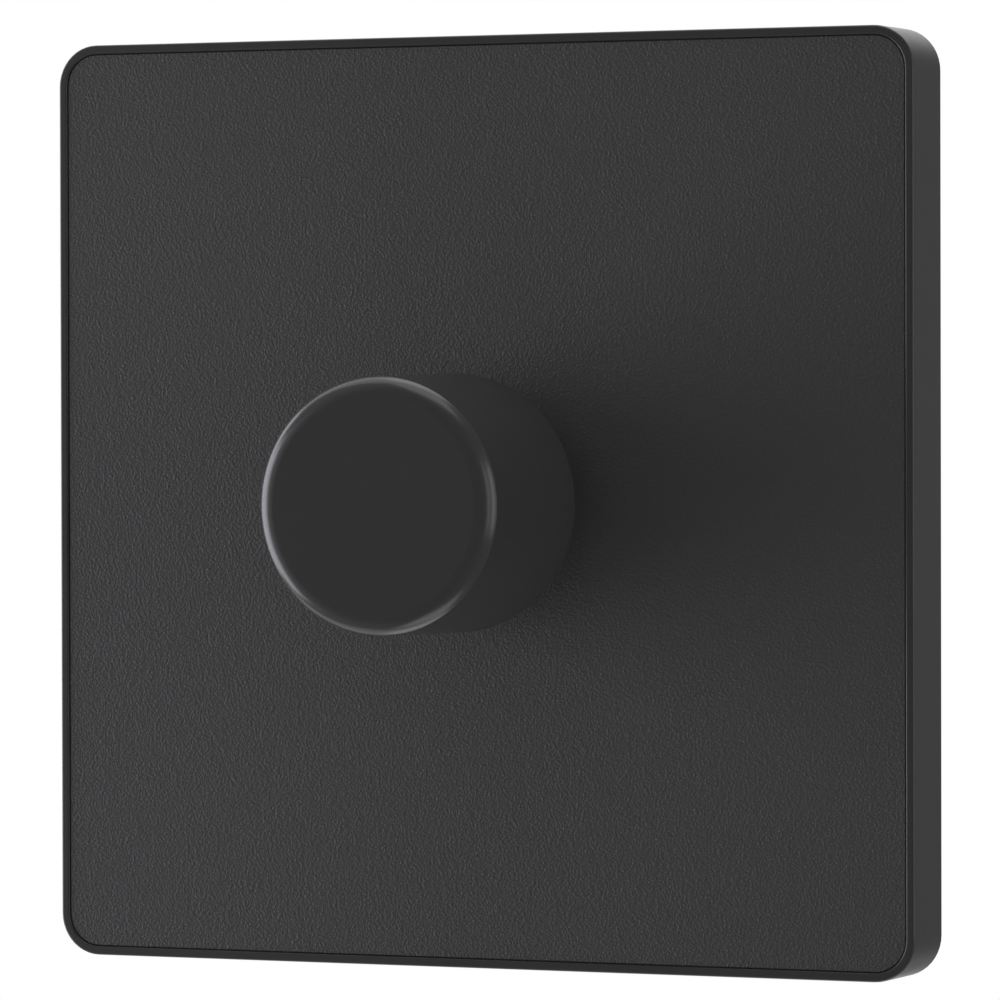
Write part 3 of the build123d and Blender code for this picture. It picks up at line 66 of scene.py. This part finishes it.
class Shader:
    """A material's node tree, built with short calls."""

    def __init__(self, name, color, roughness, metallic=0.0, specular=0.5):
        self.material = bpy.data.materials.new(name)
        self.material.use_nodes = True
        self.tree = self.material.node_tree
        self.surface = self.tree.nodes["Principled BSDF"]
        self.surface.inputs["Base Color"].default_value = (*color, 1)
        self.surface.inputs["Roughness"].default_value = roughness
        self.surface.inputs["Metallic"].default_value = metallic
        self.surface.inputs["Specular IOR Level"].default_value = specular
        self.coordinates = self.add("ShaderNodeTexCoord").outputs["Object"]

    def add(self, kind, **settings):
        """A new node of that kind, with its settings."""
        node = self.tree.nodes.new(kind)
        for key, value in settings.items():
            setattr(node, key, value)
        return node

    def link(self, output, socket):
        """Joins an output to a socket."""
        self.tree.links.new(output, socket)

    def stretched(self, scale):
        """The object's coordinates in metres, multiplied along each axis."""
        mapping = self.add("ShaderNodeMapping")
        mapping.inputs["Scale"].default_value = scale
        self.link(self.coordinates, mapping.inputs["Vector"])
        return mapping.outputs["Vector"]

    def noise(self, size, detail=2.0, roughness=0.5, stretch=(1, 1, 1)):
        """Noise whose features are about size metres across."""
        node = self.add("ShaderNodeTexNoise")
        node.inputs["Scale"].default_value = 1 / size
        node.inputs["Detail"].default_value = detail
        node.inputs["Roughness"].default_value = roughness
        self.link(self.stretched(stretch), node.inputs["Vector"])
        return node.outputs["Fac"]

    def cells(self, size, smoothness):
        """Soft-edged cells about size metres across, rising outwards from their middles."""
        node = self.add("ShaderNodeTexVoronoi", feature="SMOOTH_F1")
        node.inputs["Scale"].default_value = 1 / size
        node.inputs["Smoothness"].default_value = smoothness
        self.link(self.coordinates, node.inputs["Vector"])
        return node.outputs["Distance"]

    def spread(self, value, low, high):
        """Maps the middle of a noise's range, where nearly all of it lies, to [low, high]."""
        node = self.add("ShaderNodeMapRange")
        node.inputs["From Min"].default_value = NOISE_LOW
        node.inputs["From Max"].default_value = NOISE_HIGH
        node.inputs["To Min"].default_value = low
        node.inputs["To Max"].default_value = high
        self.link(value, node.inputs["Value"])
        return node.outputs["Result"]

    def math(self, operation, a, b):
        """One arithmetic step on two sockets or numbers."""
        node = self.add("ShaderNodeMath", operation=operation)
        for socket, value in zip(node.inputs, (a, b)):
            if isinstance(value, (int, float)):
                socket.default_value = value
            else:
                self.link(value, socket)
        return node.outputs["Value"]

    def tint(self, value, dark, light):
        """Colours running from dark to light as value goes from 0 to 1."""
        node = self.add("ShaderNodeMix", data_type="RGBA")
        node.inputs["A"].default_value = (*dark, 1)
        node.inputs["B"].default_value = (*light, 1)
        self.link(value, node.inputs["Factor"])
        self.link(node.outputs["Result"], self.surface.inputs["Base Color"])

    def blend(self, broad, fine, share):
        """Two noises added up, with share of the broad one."""
        return self.math("ADD", self.math("MULTIPLY", broad, share), self.math("MULTIPLY", fine, 1 - share))

    def vary_roughness(self, value, low, high):
        """Roughness running from low to high with a noise."""
        self.link(self.spread(value, low, high), self.surface.inputs["Roughness"])

    def metal_past(self, y, color):
        """Bare metal where the object's Y is past y, as on the leads of an electrical part."""
        split = self.add("ShaderNodeSeparateXYZ")
        self.link(self.coordinates, split.inputs["Vector"])
        past = self.math("GREATER_THAN", split.outputs["Y"], y)
        base = self.surface.inputs["Base Color"]
        mix = self.add("ShaderNodeMix", data_type="RGBA")
        self.link(base.links[0].from_socket, mix.inputs["A"])
        mix.inputs["B"].default_value = (*color, 1)
        self.link(past, mix.inputs["Factor"])
        self.link(mix.outputs["Result"], base)
        self.link(past, self.surface.inputs["Metallic"])

    def bump(self, value, depth):
        """Raises the surface by depth metres where value goes from 0 to 1."""
        node = self.add("ShaderNodeBump")
        node.inputs["Strength"].default_value = 1.0
        node.inputs["Distance"].default_value = depth
        self.link(value, node.inputs["Height"])
        self.link(node.outputs["Normal"], self.surface.inputs["Normal"])


# ---------------------------------------------------------------- materials

PEBBLE_SIZE = 0.25 * MM
GRAIN_SIZE = 0.135 * MM
STIPPLE_DEPTH = 0.056 * MM
BOARD_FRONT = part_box("circuit_board")[0].y
TIN = (0.72, 0.72, 0.71)


def shades(color, darker, lighter):
    """The two ends of a material's slight change of colour."""
    return [c * darker for c in color], [min(1, c * lighter) for c in color]


def insert_material():
    """Black moulding with the fine leather-like stipple of the front."""
    shader = Shader("insert_stipple", (0.050, 0.0501, 0.0505), 0.55, specular=0.58)
    pebbles = shader.cells(PEBBLE_SIZE, smoothness=0.5)
    fine = shader.noise(GRAIN_SIZE, detail=3.0, roughness=0.6)
    shader.bump(shader.math("ADD", pebbles, shader.math("MULTIPLY", fine, 0.6)), STIPPLE_DEPTH)
    broad = shader.noise(6 * MM, detail=3.0)
    shader.vary_roughness(shader.blend(broad, fine, 0.5), 0.47, 0.57)
    shader.tint(shader.spread(fine, 0, 1), (0.0335, 0.0336, 0.034), (0.066, 0.0661, 0.0665))
    return shader.material


def satin_black(name, color, roughness, specular):
    """Smooth black moulding: faint flow marks, a very fine skin and dusty roughness."""
    shader = Shader(name, color, roughness, specular=specular)
    fine = shader.noise(0.12 * MM, detail=2.0)
    flow = shader.noise(9 * MM, detail=4.0)
    shader.bump(fine, 0.0012 * MM)
    shader.vary_roughness(shader.blend(flow, fine, 0.7), roughness - 0.025, roughness + 0.035)
    shader.tint(flow, *shades(color, 0.96, 1.04))
    return shader.material


def moulding(name, color, roughness, grain=0.25, leads=False):
    """Moulded plastic with a grain in mm. Leads are tinned where they are past the board's front."""
    shader = Shader(name, color, roughness)
    grain_height = shader.noise(grain * MM, detail=3.0, roughness=0.6)
    patches = shader.noise(7 * MM, detail=3.0)
    shader.bump(grain_height, 0.02 * MM)
    shader.vary_roughness(patches, roughness - 0.08, roughness + 0.08)
    shader.tint(patches, *shades(color, 0.9, 1.1))
    if leads:
        shader.metal_past(BOARD_FRONT, TIN)
    return shader.material


def plated(name, color, roughness, grain=(1, 1, 1)):
    """Plated or rolled metal: fine directional grain and clouded plating."""
    shader = Shader(name, color, roughness, metallic=1.0)
    lines = shader.noise(0.15 * MM, detail=2.0, stretch=grain)
    clouds = shader.noise(4 * MM, detail=4.0, roughness=0.6)
    shader.bump(lines, 0.004 * MM)
    shader.vary_roughness(shader.blend(clouds, lines, 0.6), roughness - 0.04, roughness + 0.06)
    shader.tint(clouds, *shades(color, 0.94, 1.04))
    return shader.material


def clear_glass(name, color):
    """Clear drawn glass with a trace of waviness."""
    shader = Shader(name, color, 0.03)
    shader.surface.inputs["Transmission Weight"].default_value = 1.0
    waves = shader.noise(3 * MM, detail=2.0)
    shader.bump(waves, 0.004 * MM)
    shader.vary_roughness(waves, 0.01, 0.06)
    return shader.material


MATERIALS = {
    "insert_black": insert_material(),
    "frame_black": satin_black("frame_satin", (0.034, 0.0341, 0.0343), 0.37, 0.54),
    "knob_black": satin_black("knob_satin", (0.048, 0.048, 0.0482), 0.24, 0.50),
    "zinc_steel": plated("zinc_plate", (0.60, 0.61, 0.62), 0.34),
    "bush_zinc": plated("nickel_plate", (0.66, 0.64, 0.60), 0.28),
    "spring_steel": plated("spring_steel", (0.46, 0.47, 0.49), 0.3),
    "tinned": plated("tin_plate", TIN, 0.36),
    "heat_sink": plated("mill_aluminium", (0.74, 0.75, 0.76), 0.38, grain=(0.04, 1, 1)),
    "case_grey": moulding("case_moulding", (0.055, 0.057, 0.060), 0.52),
    "terminal_grey": moulding("terminal_moulding", (0.25, 0.257, 0.26), 0.48),
    "clamp_brass": plated("brass_clamp", (0.72, 0.53, 0.24), 0.3),
    "contact_copper": plated("copper_strip", (0.78, 0.46, 0.30), 0.3),
    "enamelled_wire": plated("enamelled_wire", (0.62, 0.24, 0.09), 0.22),
    "board_green": moulding("board_resist", (0.03, 0.16, 0.06), 0.35, grain=0.5),
    "acetal_white": moulding("acetal", (0.74, 0.73, 0.68), 0.4, grain=0.15),
    "housing_cream": moulding("housing", (0.62, 0.57, 0.44), 0.45),
    "track_brown": moulding("phenolic", (0.19, 0.09, 0.04), 0.5),
    "pad_grey": moulding("silicone_pad", (0.38, 0.40, 0.43), 0.7),
    "sleeve_black": moulding("capacitor_sleeve", (0.022, 0.023, 0.030), 0.3, grain=0.3, leads=True),
    "package_black": moulding("epoxy_package", (0.018, 0.018, 0.02), 0.5, grain=0.12),
    "core_yellow": moulding("core_coating", (0.55, 0.42, 0.07), 0.42, grain=0.3),
    "film_blue": moulding("film_box", (0.04, 0.15, 0.36), 0.32, grain=0.2, leads=True),
    "film_red": moulding("film_dip", (0.44, 0.06, 0.03), 0.28, grain=0.3, leads=True),
    "resistor_tan": moulding("lacquer", (0.55, 0.40, 0.24), 0.38, grain=0.3),
    "glass_clear": clear_glass("fuse_glass", (0.90, 0.95, 0.93)),
}

slot_of = {part["node"]: part["material_slot"] for part in frame["record"]["subparts"]}
for name, piece in nodes.items():
    piece.data.materials.clear()
    piece.data.materials.append(MATERIALS[slot_of[name]])


# ---------------------------------------------------------------- mesh helpers

def skin(shape, rings):
    """Adds a closed skin through rings of points to the bmesh, and returns each band's faces."""
    loops = [[shape.verts.new(point) for point in ring] for ring in rings]
    bands = []
    for near, far in zip(loops, loops[1:]):
        around = range(len(near))
        bands.append([shape.faces.new((near[i], near[i - 1], far[i - 1], far[i])) for i in around])
    shape.faces.new(list(reversed(loops[0])))
    shape.faces.new(loops[-1])
    return bands


def tube(shape, path, radii, normal, count):
    """Adds a closed round tube along a path, with a radius at each of its points."""
    rings = []
    normal = Vector(normal)
    turns = [2 * math.pi * step / count for step in range(count)]
    for i, point in enumerate(path):
        along = (path[min(len(path) - 1, i + 1)] - path[max(0, i - 1)]).normalized()
        normal = (normal - along * normal.dot(along)).normalized()
        side = along.cross(normal)
        rings.append([point + radii[i] * (math.cos(t) * normal + math.sin(t) * side) for t in turns])
    return skin(shape, rings)


def stand_in(shape, name, node, sharp, materials=()):
    """Makes the bmesh a piece of the root body that stands for a node, smooth up to sharp degrees."""
    bmesh.ops.recalc_face_normals(shape, faces=shape.faces)
    mesh = bpy.data.meshes.new(name)
    shape.to_mesh(mesh)
    shape.free()
    for face in mesh.polygons:
        face.use_smooth = True
    mesh.set_sharp_from_angle(angle=math.radians(sharp))
    for material in materials or [MATERIALS[slot_of[node]]]:
        mesh.materials.append(material)
    piece = bpy.data.objects.new(name, mesh)
    bpy.context.scene.collection.objects.link(piece)
    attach(piece, "root")
    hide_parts(node)
    return piece


def cut_box(piece, centre, size):
    """Cuts a box out of the piece, and keeps the result as its mesh."""
    bpy.ops.mesh.primitive_cube_add(size=1, location=centre)
    cutter = bpy.context.object
    cutter.scale = size
    modifier = piece.modifiers.new("cut", "BOOLEAN")
    modifier.operation = "DIFFERENCE"
    modifier.solver = "EXACT"
    modifier.object = cutter
    cut = bpy.data.meshes.new_from_object(piece.evaluated_get(bpy.context.evaluated_depsgraph_get()))
    piece.modifiers.clear()
    piece.data = cut
    bpy.data.objects.remove(cutter)


# ---------------------------------------------------------------- fixing screws

SCREW_HEAD_R = 3.3 * MM
SCREW_HEAD_H = 1.9 * MM
SCREW_HEAD_ROUND = 0.7 * MM
SCREW_SLOT_W = 0.9 * MM
SCREW_NECK_R = 1.38 * MM
SCREW_NECK_L = 1.5 * MM
THREAD_R = 1.75 * MM
THREAD_DEPTH = 0.37 * MM
THREAD_PITCH = 0.6 * MM
THREAD_RUN_OUT = 1.5 * THREAD_PITCH
ROOT_SHARE, FLANK_SHARE = 0.25, 0.625
TIP_R = 1.25 * MM
TURN_STEPS = 36
PITCH_STEPS = 12
ROUND_STEPS = 6


def thread_radius(turns, along, length):
    """Radius of the M3.5 thread at a turn round the axis and a distance along it."""
    ridge = 1 - abs(2 * ((along / THREAD_PITCH - turns) % 1.0) - 1)
    # the root is a quarter of the pitch wide and the crest an eighth
    height = min(1.0, max(0.0, (ridge - ROOT_SHARE) / FLANK_SHARE))
    run_out = min(1.0, along / THREAD_RUN_OUT)
    root = THREAD_R - THREAD_DEPTH
    return min(root + THREAD_DEPTH * height * run_out, TIP_R + length - along)


def screw_rings(x, front, tip):
    """Rings of one slotted screw, from the middle of its head to its tip."""
    seat = front + SCREW_HEAD_H
    round_r = SCREW_HEAD_ROUND
    plain = [(SCREW_HEAD_R - round_r, front)]
    for step in range(1, ROUND_STEPS + 1):
        turn = step / ROUND_STEPS * math.pi / 2
        plain.append((
            SCREW_HEAD_R - round_r + round_r * math.sin(turn),
            front + round_r * (1 - math.cos(turn)),
        ))
    plain += [(SCREW_HEAD_R, seat), (SCREW_NECK_R, seat), (SCREW_NECK_R, seat + SCREW_NECK_L)]
    angles = [i / TURN_STEPS for i in range(TURN_STEPS)]

    def point(radius, y, turns):
        return (x + radius * math.cos(2 * math.pi * turns), y, radius * math.sin(2 * math.pi * turns))

    rings = [[point(radius, y, turns) for turns in angles] for radius, y in plain]
    start = seat + SCREW_NECK_L
    length = tip - start
    count = round(length / THREAD_PITCH * PITCH_STEPS)
    for row in range(1, count + 1):
        along = length * row / count
        rings.append([point(thread_radius(turns, along, length), start + along, turns) for turns in angles])
    return rings


def make_fixing_screws():
    """Both M3.5 fixing screws, with a slot cut across their heads."""
    low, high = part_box("fixing_screws")
    shape = bmesh.new()
    for x in (low.x + SCREW_HEAD_R, high.x - SCREW_HEAD_R):
        skin(shape, screw_rings(x, low.y, high.y))
    screws = stand_in(shape, "threaded_fixing_screws", "fixing_screws", sharp=50)
    slots = (high.x - low.x + MM, 2 * SCREW_SLOT_W, SCREW_SLOT_W)
    cut_box(screws, (0, low.y, 0), slots)


make_fixing_screws()


# ---------------------------------------------------------------- resistors

RESISTOR_ROWS = (-12.4 * MM, -15.4 * MM, -22.0 * MM)
RESISTOR_BODY_R = 1.2 * MM
RESISTOR_BODY_L = 6.4 * MM
RESISTOR_WIRE_R = 0.3 * MM
RESISTOR_BEND_R = 0.8 * MM
RESISTOR_END_L = 0.5 * MM
RESISTOR_CAP_X = 1.75 * MM
RESISTOR_WAIST = 0.14 * MM
RESISTOR_WAIST_EASE = 0.12 * MM
RESISTOR_STEP = 0.1 * MM
BEND_STEPS = 8
RESISTOR_SIDES = 32
# the colour bands of each resistor: three for the value and one for the tolerance
BAND_PLACES = (-2.4 * MM, -1.2 * MM, -0.2 * MM, 2.4 * MM)
BAND_HALF = 0.3 * MM
BAND_COLOURS = {
    "brown": (0.16, 0.05, 0.02), "red": (0.52, 0.02, 0.02), "orange": (0.75, 0.20, 0.02),
    "yellow": (0.80, 0.60, 0.04), "violet": (0.16, 0.04, 0.30), "gold": (0.52, 0.36, 0.10),
}
BANDS = (
    ("brown", "violet", "yellow", "gold"),
    ("red", "red", "orange", "gold"),
    ("yellow", "violet", "orange", "gold"),
)


def resistor_radius(x):
    """Dog-bone outline: rounded ends, a little fatter than the middle."""
    to_end = (RESISTOR_BODY_L / 2 - abs(x)) / RESISTOR_END_L
    rounding = math.sqrt(max(0.0, 1 - (1 - min(1.0, to_end)) ** 2))
    waist = RESISTOR_WAIST / (1 + math.exp((abs(x) - RESISTOR_CAP_X) / RESISTOR_WAIST_EASE))
    return max(RESISTOR_WIRE_R, (RESISTOR_BODY_R - waist) * rounding)


def resistor_finish(x, colours):
    """The finish of the body at a distance x from its middle."""
    for place, colour in zip(BAND_PLACES, colours):
        if abs(x - place) < BAND_HALF:
            return colour
    return "body"


def make_resistors():
    """Three axial resistors with bent leads and painted bands."""
    low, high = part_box("resistors")
    middle = (low.x + high.x) / 2
    drop = high.x - middle - RESISTOR_WIRE_R
    height = low.y + RESISTOR_BODY_R
    finishes = {"wire": MATERIALS["tinned"], "body": MATERIALS["resistor_tan"]}
    for colour, value in BAND_COLOURS.items():
        finishes[colour] = moulding("band_" + colour, value, 0.35, grain=0.3)
    names = list(finishes)
    shape = bmesh.new()
    for z, colours in zip(RESISTOR_ROWS, BANDS):
        stations = [((-drop, high.y), RESISTOR_WIRE_R, "wire")]
        for step in range(BEND_STEPS + 1):
            turn = step / BEND_STEPS * math.pi / 2
            place = (
                -drop + RESISTOR_BEND_R * (1 - math.cos(turn)),
                height + RESISTOR_BEND_R * (1 - math.sin(turn)),
            )
            stations.append((place, RESISTOR_WIRE_R, "wire"))
        mirrored = [((-x, y), radius, finish) for (x, y), radius, finish in reversed(stations)]
        steps = round(RESISTOR_BODY_L / RESISTOR_STEP)
        for step in range(steps + 1):
            x = (step - steps / 2) * RESISTOR_STEP
            finish = resistor_finish(x + RESISTOR_STEP / 2, colours)
            stations.append(((x, height), resistor_radius(x), finish if step < steps else "wire"))
        stations += mirrored
        path = [Vector((middle + x, y, z)) for (x, y), _, _ in stations]
        bands = tube(shape, path, [radius for _, radius, _ in stations], (0, 0, 1), RESISTOR_SIDES)
        for (_, _, finish), band in zip(stations, bands):
            for face in band:
                face.material_index = names.index(finish)
    stand_in(shape, "banded_resistors", "resistors", sharp=60, materials=list(finishes.values()))


make_resistors()


# ---------------------------------------------------------------- choke winding

CORE_HOLE_R = 3.4 * MM
WIRE_R = 0.4 * MM
WIRE_GAP = 0.15 * MM
WINDING_TURNS = 15
WINDING_START = math.radians(14)
LEAD_RADIUS = 5.0 * MM
CORNER_STEPS = 5
LEAD_BEND = 0.9 * MM
WIRE_SIDES = 16


def make_winding():
    """One enamelled wire wound round the ring core, with both ends led down into the board."""
    low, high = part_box("choke_core")
    middle = (low + high) / 2
    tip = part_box("choke_winding")[1].y - middle.y
    core_r = (high.x - low.x) / 2
    ring_r = (core_r + CORE_HOLE_R) / 2
    half_w, half_h = (core_r - CORE_HOLE_R) / 2, (high.y - low.y) / 2
    offset = WIRE_GAP + WIRE_R

    # one turn's section, from the board's side inwards and round the core's four corners
    section = []
    for right, down, first in ((-1, 1, 90), (-1, -1, 180), (1, -1, 270), (1, 1, 0)):
        for step in range(CORNER_STEPS):
            turn = math.radians(first + 90 * step / (CORNER_STEPS - 1))
            out = right * half_w + offset * math.cos(turn)
            section.append((out, down * half_h + offset * math.sin(turn)))
    count = WINDING_TURNS * len(section)
    wound = []
    for i in range(count + 1):
        angle = WINDING_START + (2 * math.pi - 2 * WINDING_START) * i / count
        out, down = section[i % len(section)]
        wound.append(((ring_r + out) * math.cos(angle), down, (ring_r + out) * math.sin(angle)))
    under = half_h + offset + 2 * WIRE_R + LEAD_BEND / 2
    start = [
        (LEAD_RADIUS, tip, 0),
        (LEAD_RADIUS, under + LEAD_BEND, 0),
        (LEAD_RADIUS, under, LEAD_BEND / 3),
    ]
    end = [
        (LEAD_RADIUS * 0.6, under, -LEAD_BEND),
        (0, under, -LEAD_BEND),
        (-LEAD_RADIUS + LEAD_BEND, under, -LEAD_BEND / 4),
        (-LEAD_RADIUS + LEAD_BEND / 5, under + LEAD_BEND / 3, 0),
        (-LEAD_RADIUS, under + 1.5 * LEAD_BEND, 0),
        (-LEAD_RADIUS, tip, 0),
    ]
    path = [middle + Vector(point) for point in start + wound + end]
    shape = bmesh.new()
    tube(shape, path, [WIRE_R] * len(path), (1, 0, 0), WIRE_SIDES)
    stand_in(shape, "wound_wire", "choke_winding", sharp=80)


make_winding()


# ---------------------------------------------------------------- return spring

SPRING_WIRE_R = 0.17 * MM
CLOSED_PITCH = 0.37 * MM
OPEN_TURNS = 3.5
STEPS_PER_TURN = 32


def make_return_spring():
    """A compression spring with a closed turn at each end, filling the return spring's box."""
    low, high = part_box("return_spring")
    middle = (low + high) / 2
    radius = (high.x - low.x) / 2 - SPRING_WIRE_R
    foot, head = high.y - SPRING_WIRE_R, low.y + SPRING_WIRE_R
    open_pitch = (foot - head - 2 * CLOSED_PITCH) / OPEN_TURNS
    count = round((OPEN_TURNS + 2) * STEPS_PER_TURN)
    path = []
    for step in range(count + 1):
        turns = step / STEPS_PER_TURN
        open_turns = min(max(turns - 1, 0), OPEN_TURNS)
        y = foot - open_pitch * open_turns - CLOSED_PITCH * (turns - open_turns)
        angle = 2 * math.pi * turns
        path.append(Vector((middle.x + radius * math.cos(angle), y, middle.z + radius * math.sin(angle))))
    shape = bmesh.new()
    tube(shape, path, [SPRING_WIRE_R] * len(path), (1, 0, 0), WIRE_SIDES)
    spring = stand_in(shape, "coiled_return_spring", "return_spring", sharp=60)
    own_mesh(spring)


make_return_spring()


# ---------------------------------------------------------------- camera

FACE_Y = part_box("surround_frame")[0].y
CAMERA_YAW = math.radians(23.74)
CAMERA_PITCH = math.radians(0.90)
CAMERA_ROLL = math.radians(0.14)
CAMERA_DISTANCE = 0.6566
CAMERA_ASIDE = 2.50 * MM
CAMERA_UP = 0.23 * MM
LENS = 237.2
SENSOR = 36.0


def rotation(angle, axis):
    """A turn by angle about a named axis."""
    return Matrix.Rotation(angle, 4, axis)


def make_camera():
    """The camera stands to the right of the knob's axis and a little above it."""
    data = bpy.data.cameras.new("camera")
    data.lens = LENS
    data.sensor_width = SENSOR
    data.clip_start = 0.01
    data.clip_end = 100.0
    camera = bpy.data.objects.new("camera", data)
    bpy.context.scene.collection.objects.link(camera)
    facing = rotation(math.pi / 2, "X") @ rotation(CAMERA_YAW, "Y")
    swing = facing @ rotation(-CAMERA_PITCH, "X") @ rotation(-CAMERA_ROLL, "Z")
    back = Matrix.Translation((CAMERA_ASIDE, CAMERA_UP, CAMERA_DISTANCE))
    camera.matrix_world = Matrix.Translation((0, FACE_Y, 0)) @ swing @ back
    bpy.context.scene.camera = camera


make_camera()


# ---------------------------------------------------------------- studio

LIGHT_DISTANCE = 0.6
FLOOR_DROP = 1.1
FLOOR_RADIUS = 6.0
FLOOR_POWER = 420
BACKGROUND = 1.0
WORLD_LIGHT = 0.2
COOL = (0.92, 0.92, 1.0)
# azimuth from straight in front towards +X, elevation, width, height, power in watts, any colour
SOFTBOXES = {
    "left_front": (-50, 0, 0.266, 0.42, 0.18),
    "left": (-75, -6, 0.30, 0.52, 2.00, COOL),
    "left_beside": (-100, 5, 0.266, 0.56, 1.20, COOL),
    "upper_left": (-45, 40, 0.30, 0.30, 0.055),
    "lower_left": (-45, -40, 0.30, 0.30, 0.045),
    "right_front": (61, 4, 0.20, 0.44, 0.31),
    "right": (90, 4, 0.266, 0.48, 0.68),
    "top": (30, 76, 0.44, 0.27, 0.58),
    "top_back": (190, 72, 0.34, 0.30, 0.30),
    "bottom": (35, -76, 0.44, 0.27, 0.59),
    "bottom_back": (190, -72, 0.34, 0.30, 0.30),
    "rear_left": (-155, 10, 0.80, 0.80, 2.4),
    "rear_top": (225, 60, 0.80, 0.60, 1.8),
    "rear_low": (225, -55, 0.80, 0.60, 1.2),
}


def softbox(name, azimuth, elevation, width, height, power, color=(1, 1, 1)):
    """A rectangular light at LIGHT_DISTANCE, turned to the middle of the object."""
    turn, lift = math.radians(azimuth), math.radians(elevation)
    place = LIGHT_DISTANCE * Vector(
        (math.sin(turn) * math.cos(lift), -math.cos(turn) * math.cos(lift), math.sin(lift))
    )
    data = bpy.data.lights.new(name, "AREA")
    data.shape = "RECTANGLE"
    data.size = width
    data.size_y = height
    data.energy = power
    data.color = color
    light = bpy.data.objects.new(name, data)
    light.location = place
    light.rotation_euler = (-place).to_track_quat("-Z", "Y").to_euler()
    light.visible_camera = False
    bpy.context.scene.collection.objects.link(light)


def make_world(seen, lighting):
    """A white background to the camera, and a dimmer even light on the object."""
    world = bpy.data.worlds.new("studio")
    world.use_nodes = True
    bpy.context.scene.world = world
    tree = world.node_tree
    background = tree.nodes["Background"]
    background.inputs["Color"].default_value = (*[lighting] * 3, 1)
    white = tree.nodes.new("ShaderNodeBackground")
    white.inputs["Color"].default_value = (*[seen] * 3, 1)
    rays = tree.nodes.new("ShaderNodeLightPath")
    mix = tree.nodes.new("ShaderNodeMixShader")
    tree.links.new(rays.outputs["Is Camera Ray"], mix.inputs["Fac"])
    tree.links.new(background.outputs["Background"], mix.inputs[1])
    tree.links.new(white.outputs["Background"], mix.inputs[2])
    tree.links.new(mix.outputs["Shader"], tree.nodes["World Output"].inputs["Surface"])


def make_floor(drop, radius):
    """A pale floor with a light over it, as far below the object as under a switch on a wall."""
    bpy.ops.mesh.primitive_circle_add(
        vertices=96, radius=radius, fill_type="NGON", location=(0, 0, -drop)
    )
    floor = bpy.context.object
    floor.name = "floor"
    shader = Shader("floor_paint", (0.86, 0.86, 0.86), 0.7)
    shader.bump(shader.noise(1.5 * MM, detail=4.0), 0.02 * MM)
    floor.data.materials.append(shader.material)
    # the floor is only looked at, and sends no light back to the object
    floor.visible_diffuse = False
    floor.visible_glossy = False
    data = bpy.data.lights.new("floor_light", "AREA")
    data.size = 2 * radius
    data.energy = FLOOR_POWER
    light = bpy.data.objects.new("floor_light", data)
    light.location = (0, 0, -drop / 2)
    light.visible_camera = False
    bpy.context.scene.collection.objects.link(light)


bpy.context.scene.view_settings.view_transform = "Standard"
make_world(BACKGROUND, WORLD_LIGHT)
make_floor(FLOOR_DROP, FLOOR_RADIUS)
for name, box in SOFTBOXES.items():
    softbox(name, *box)
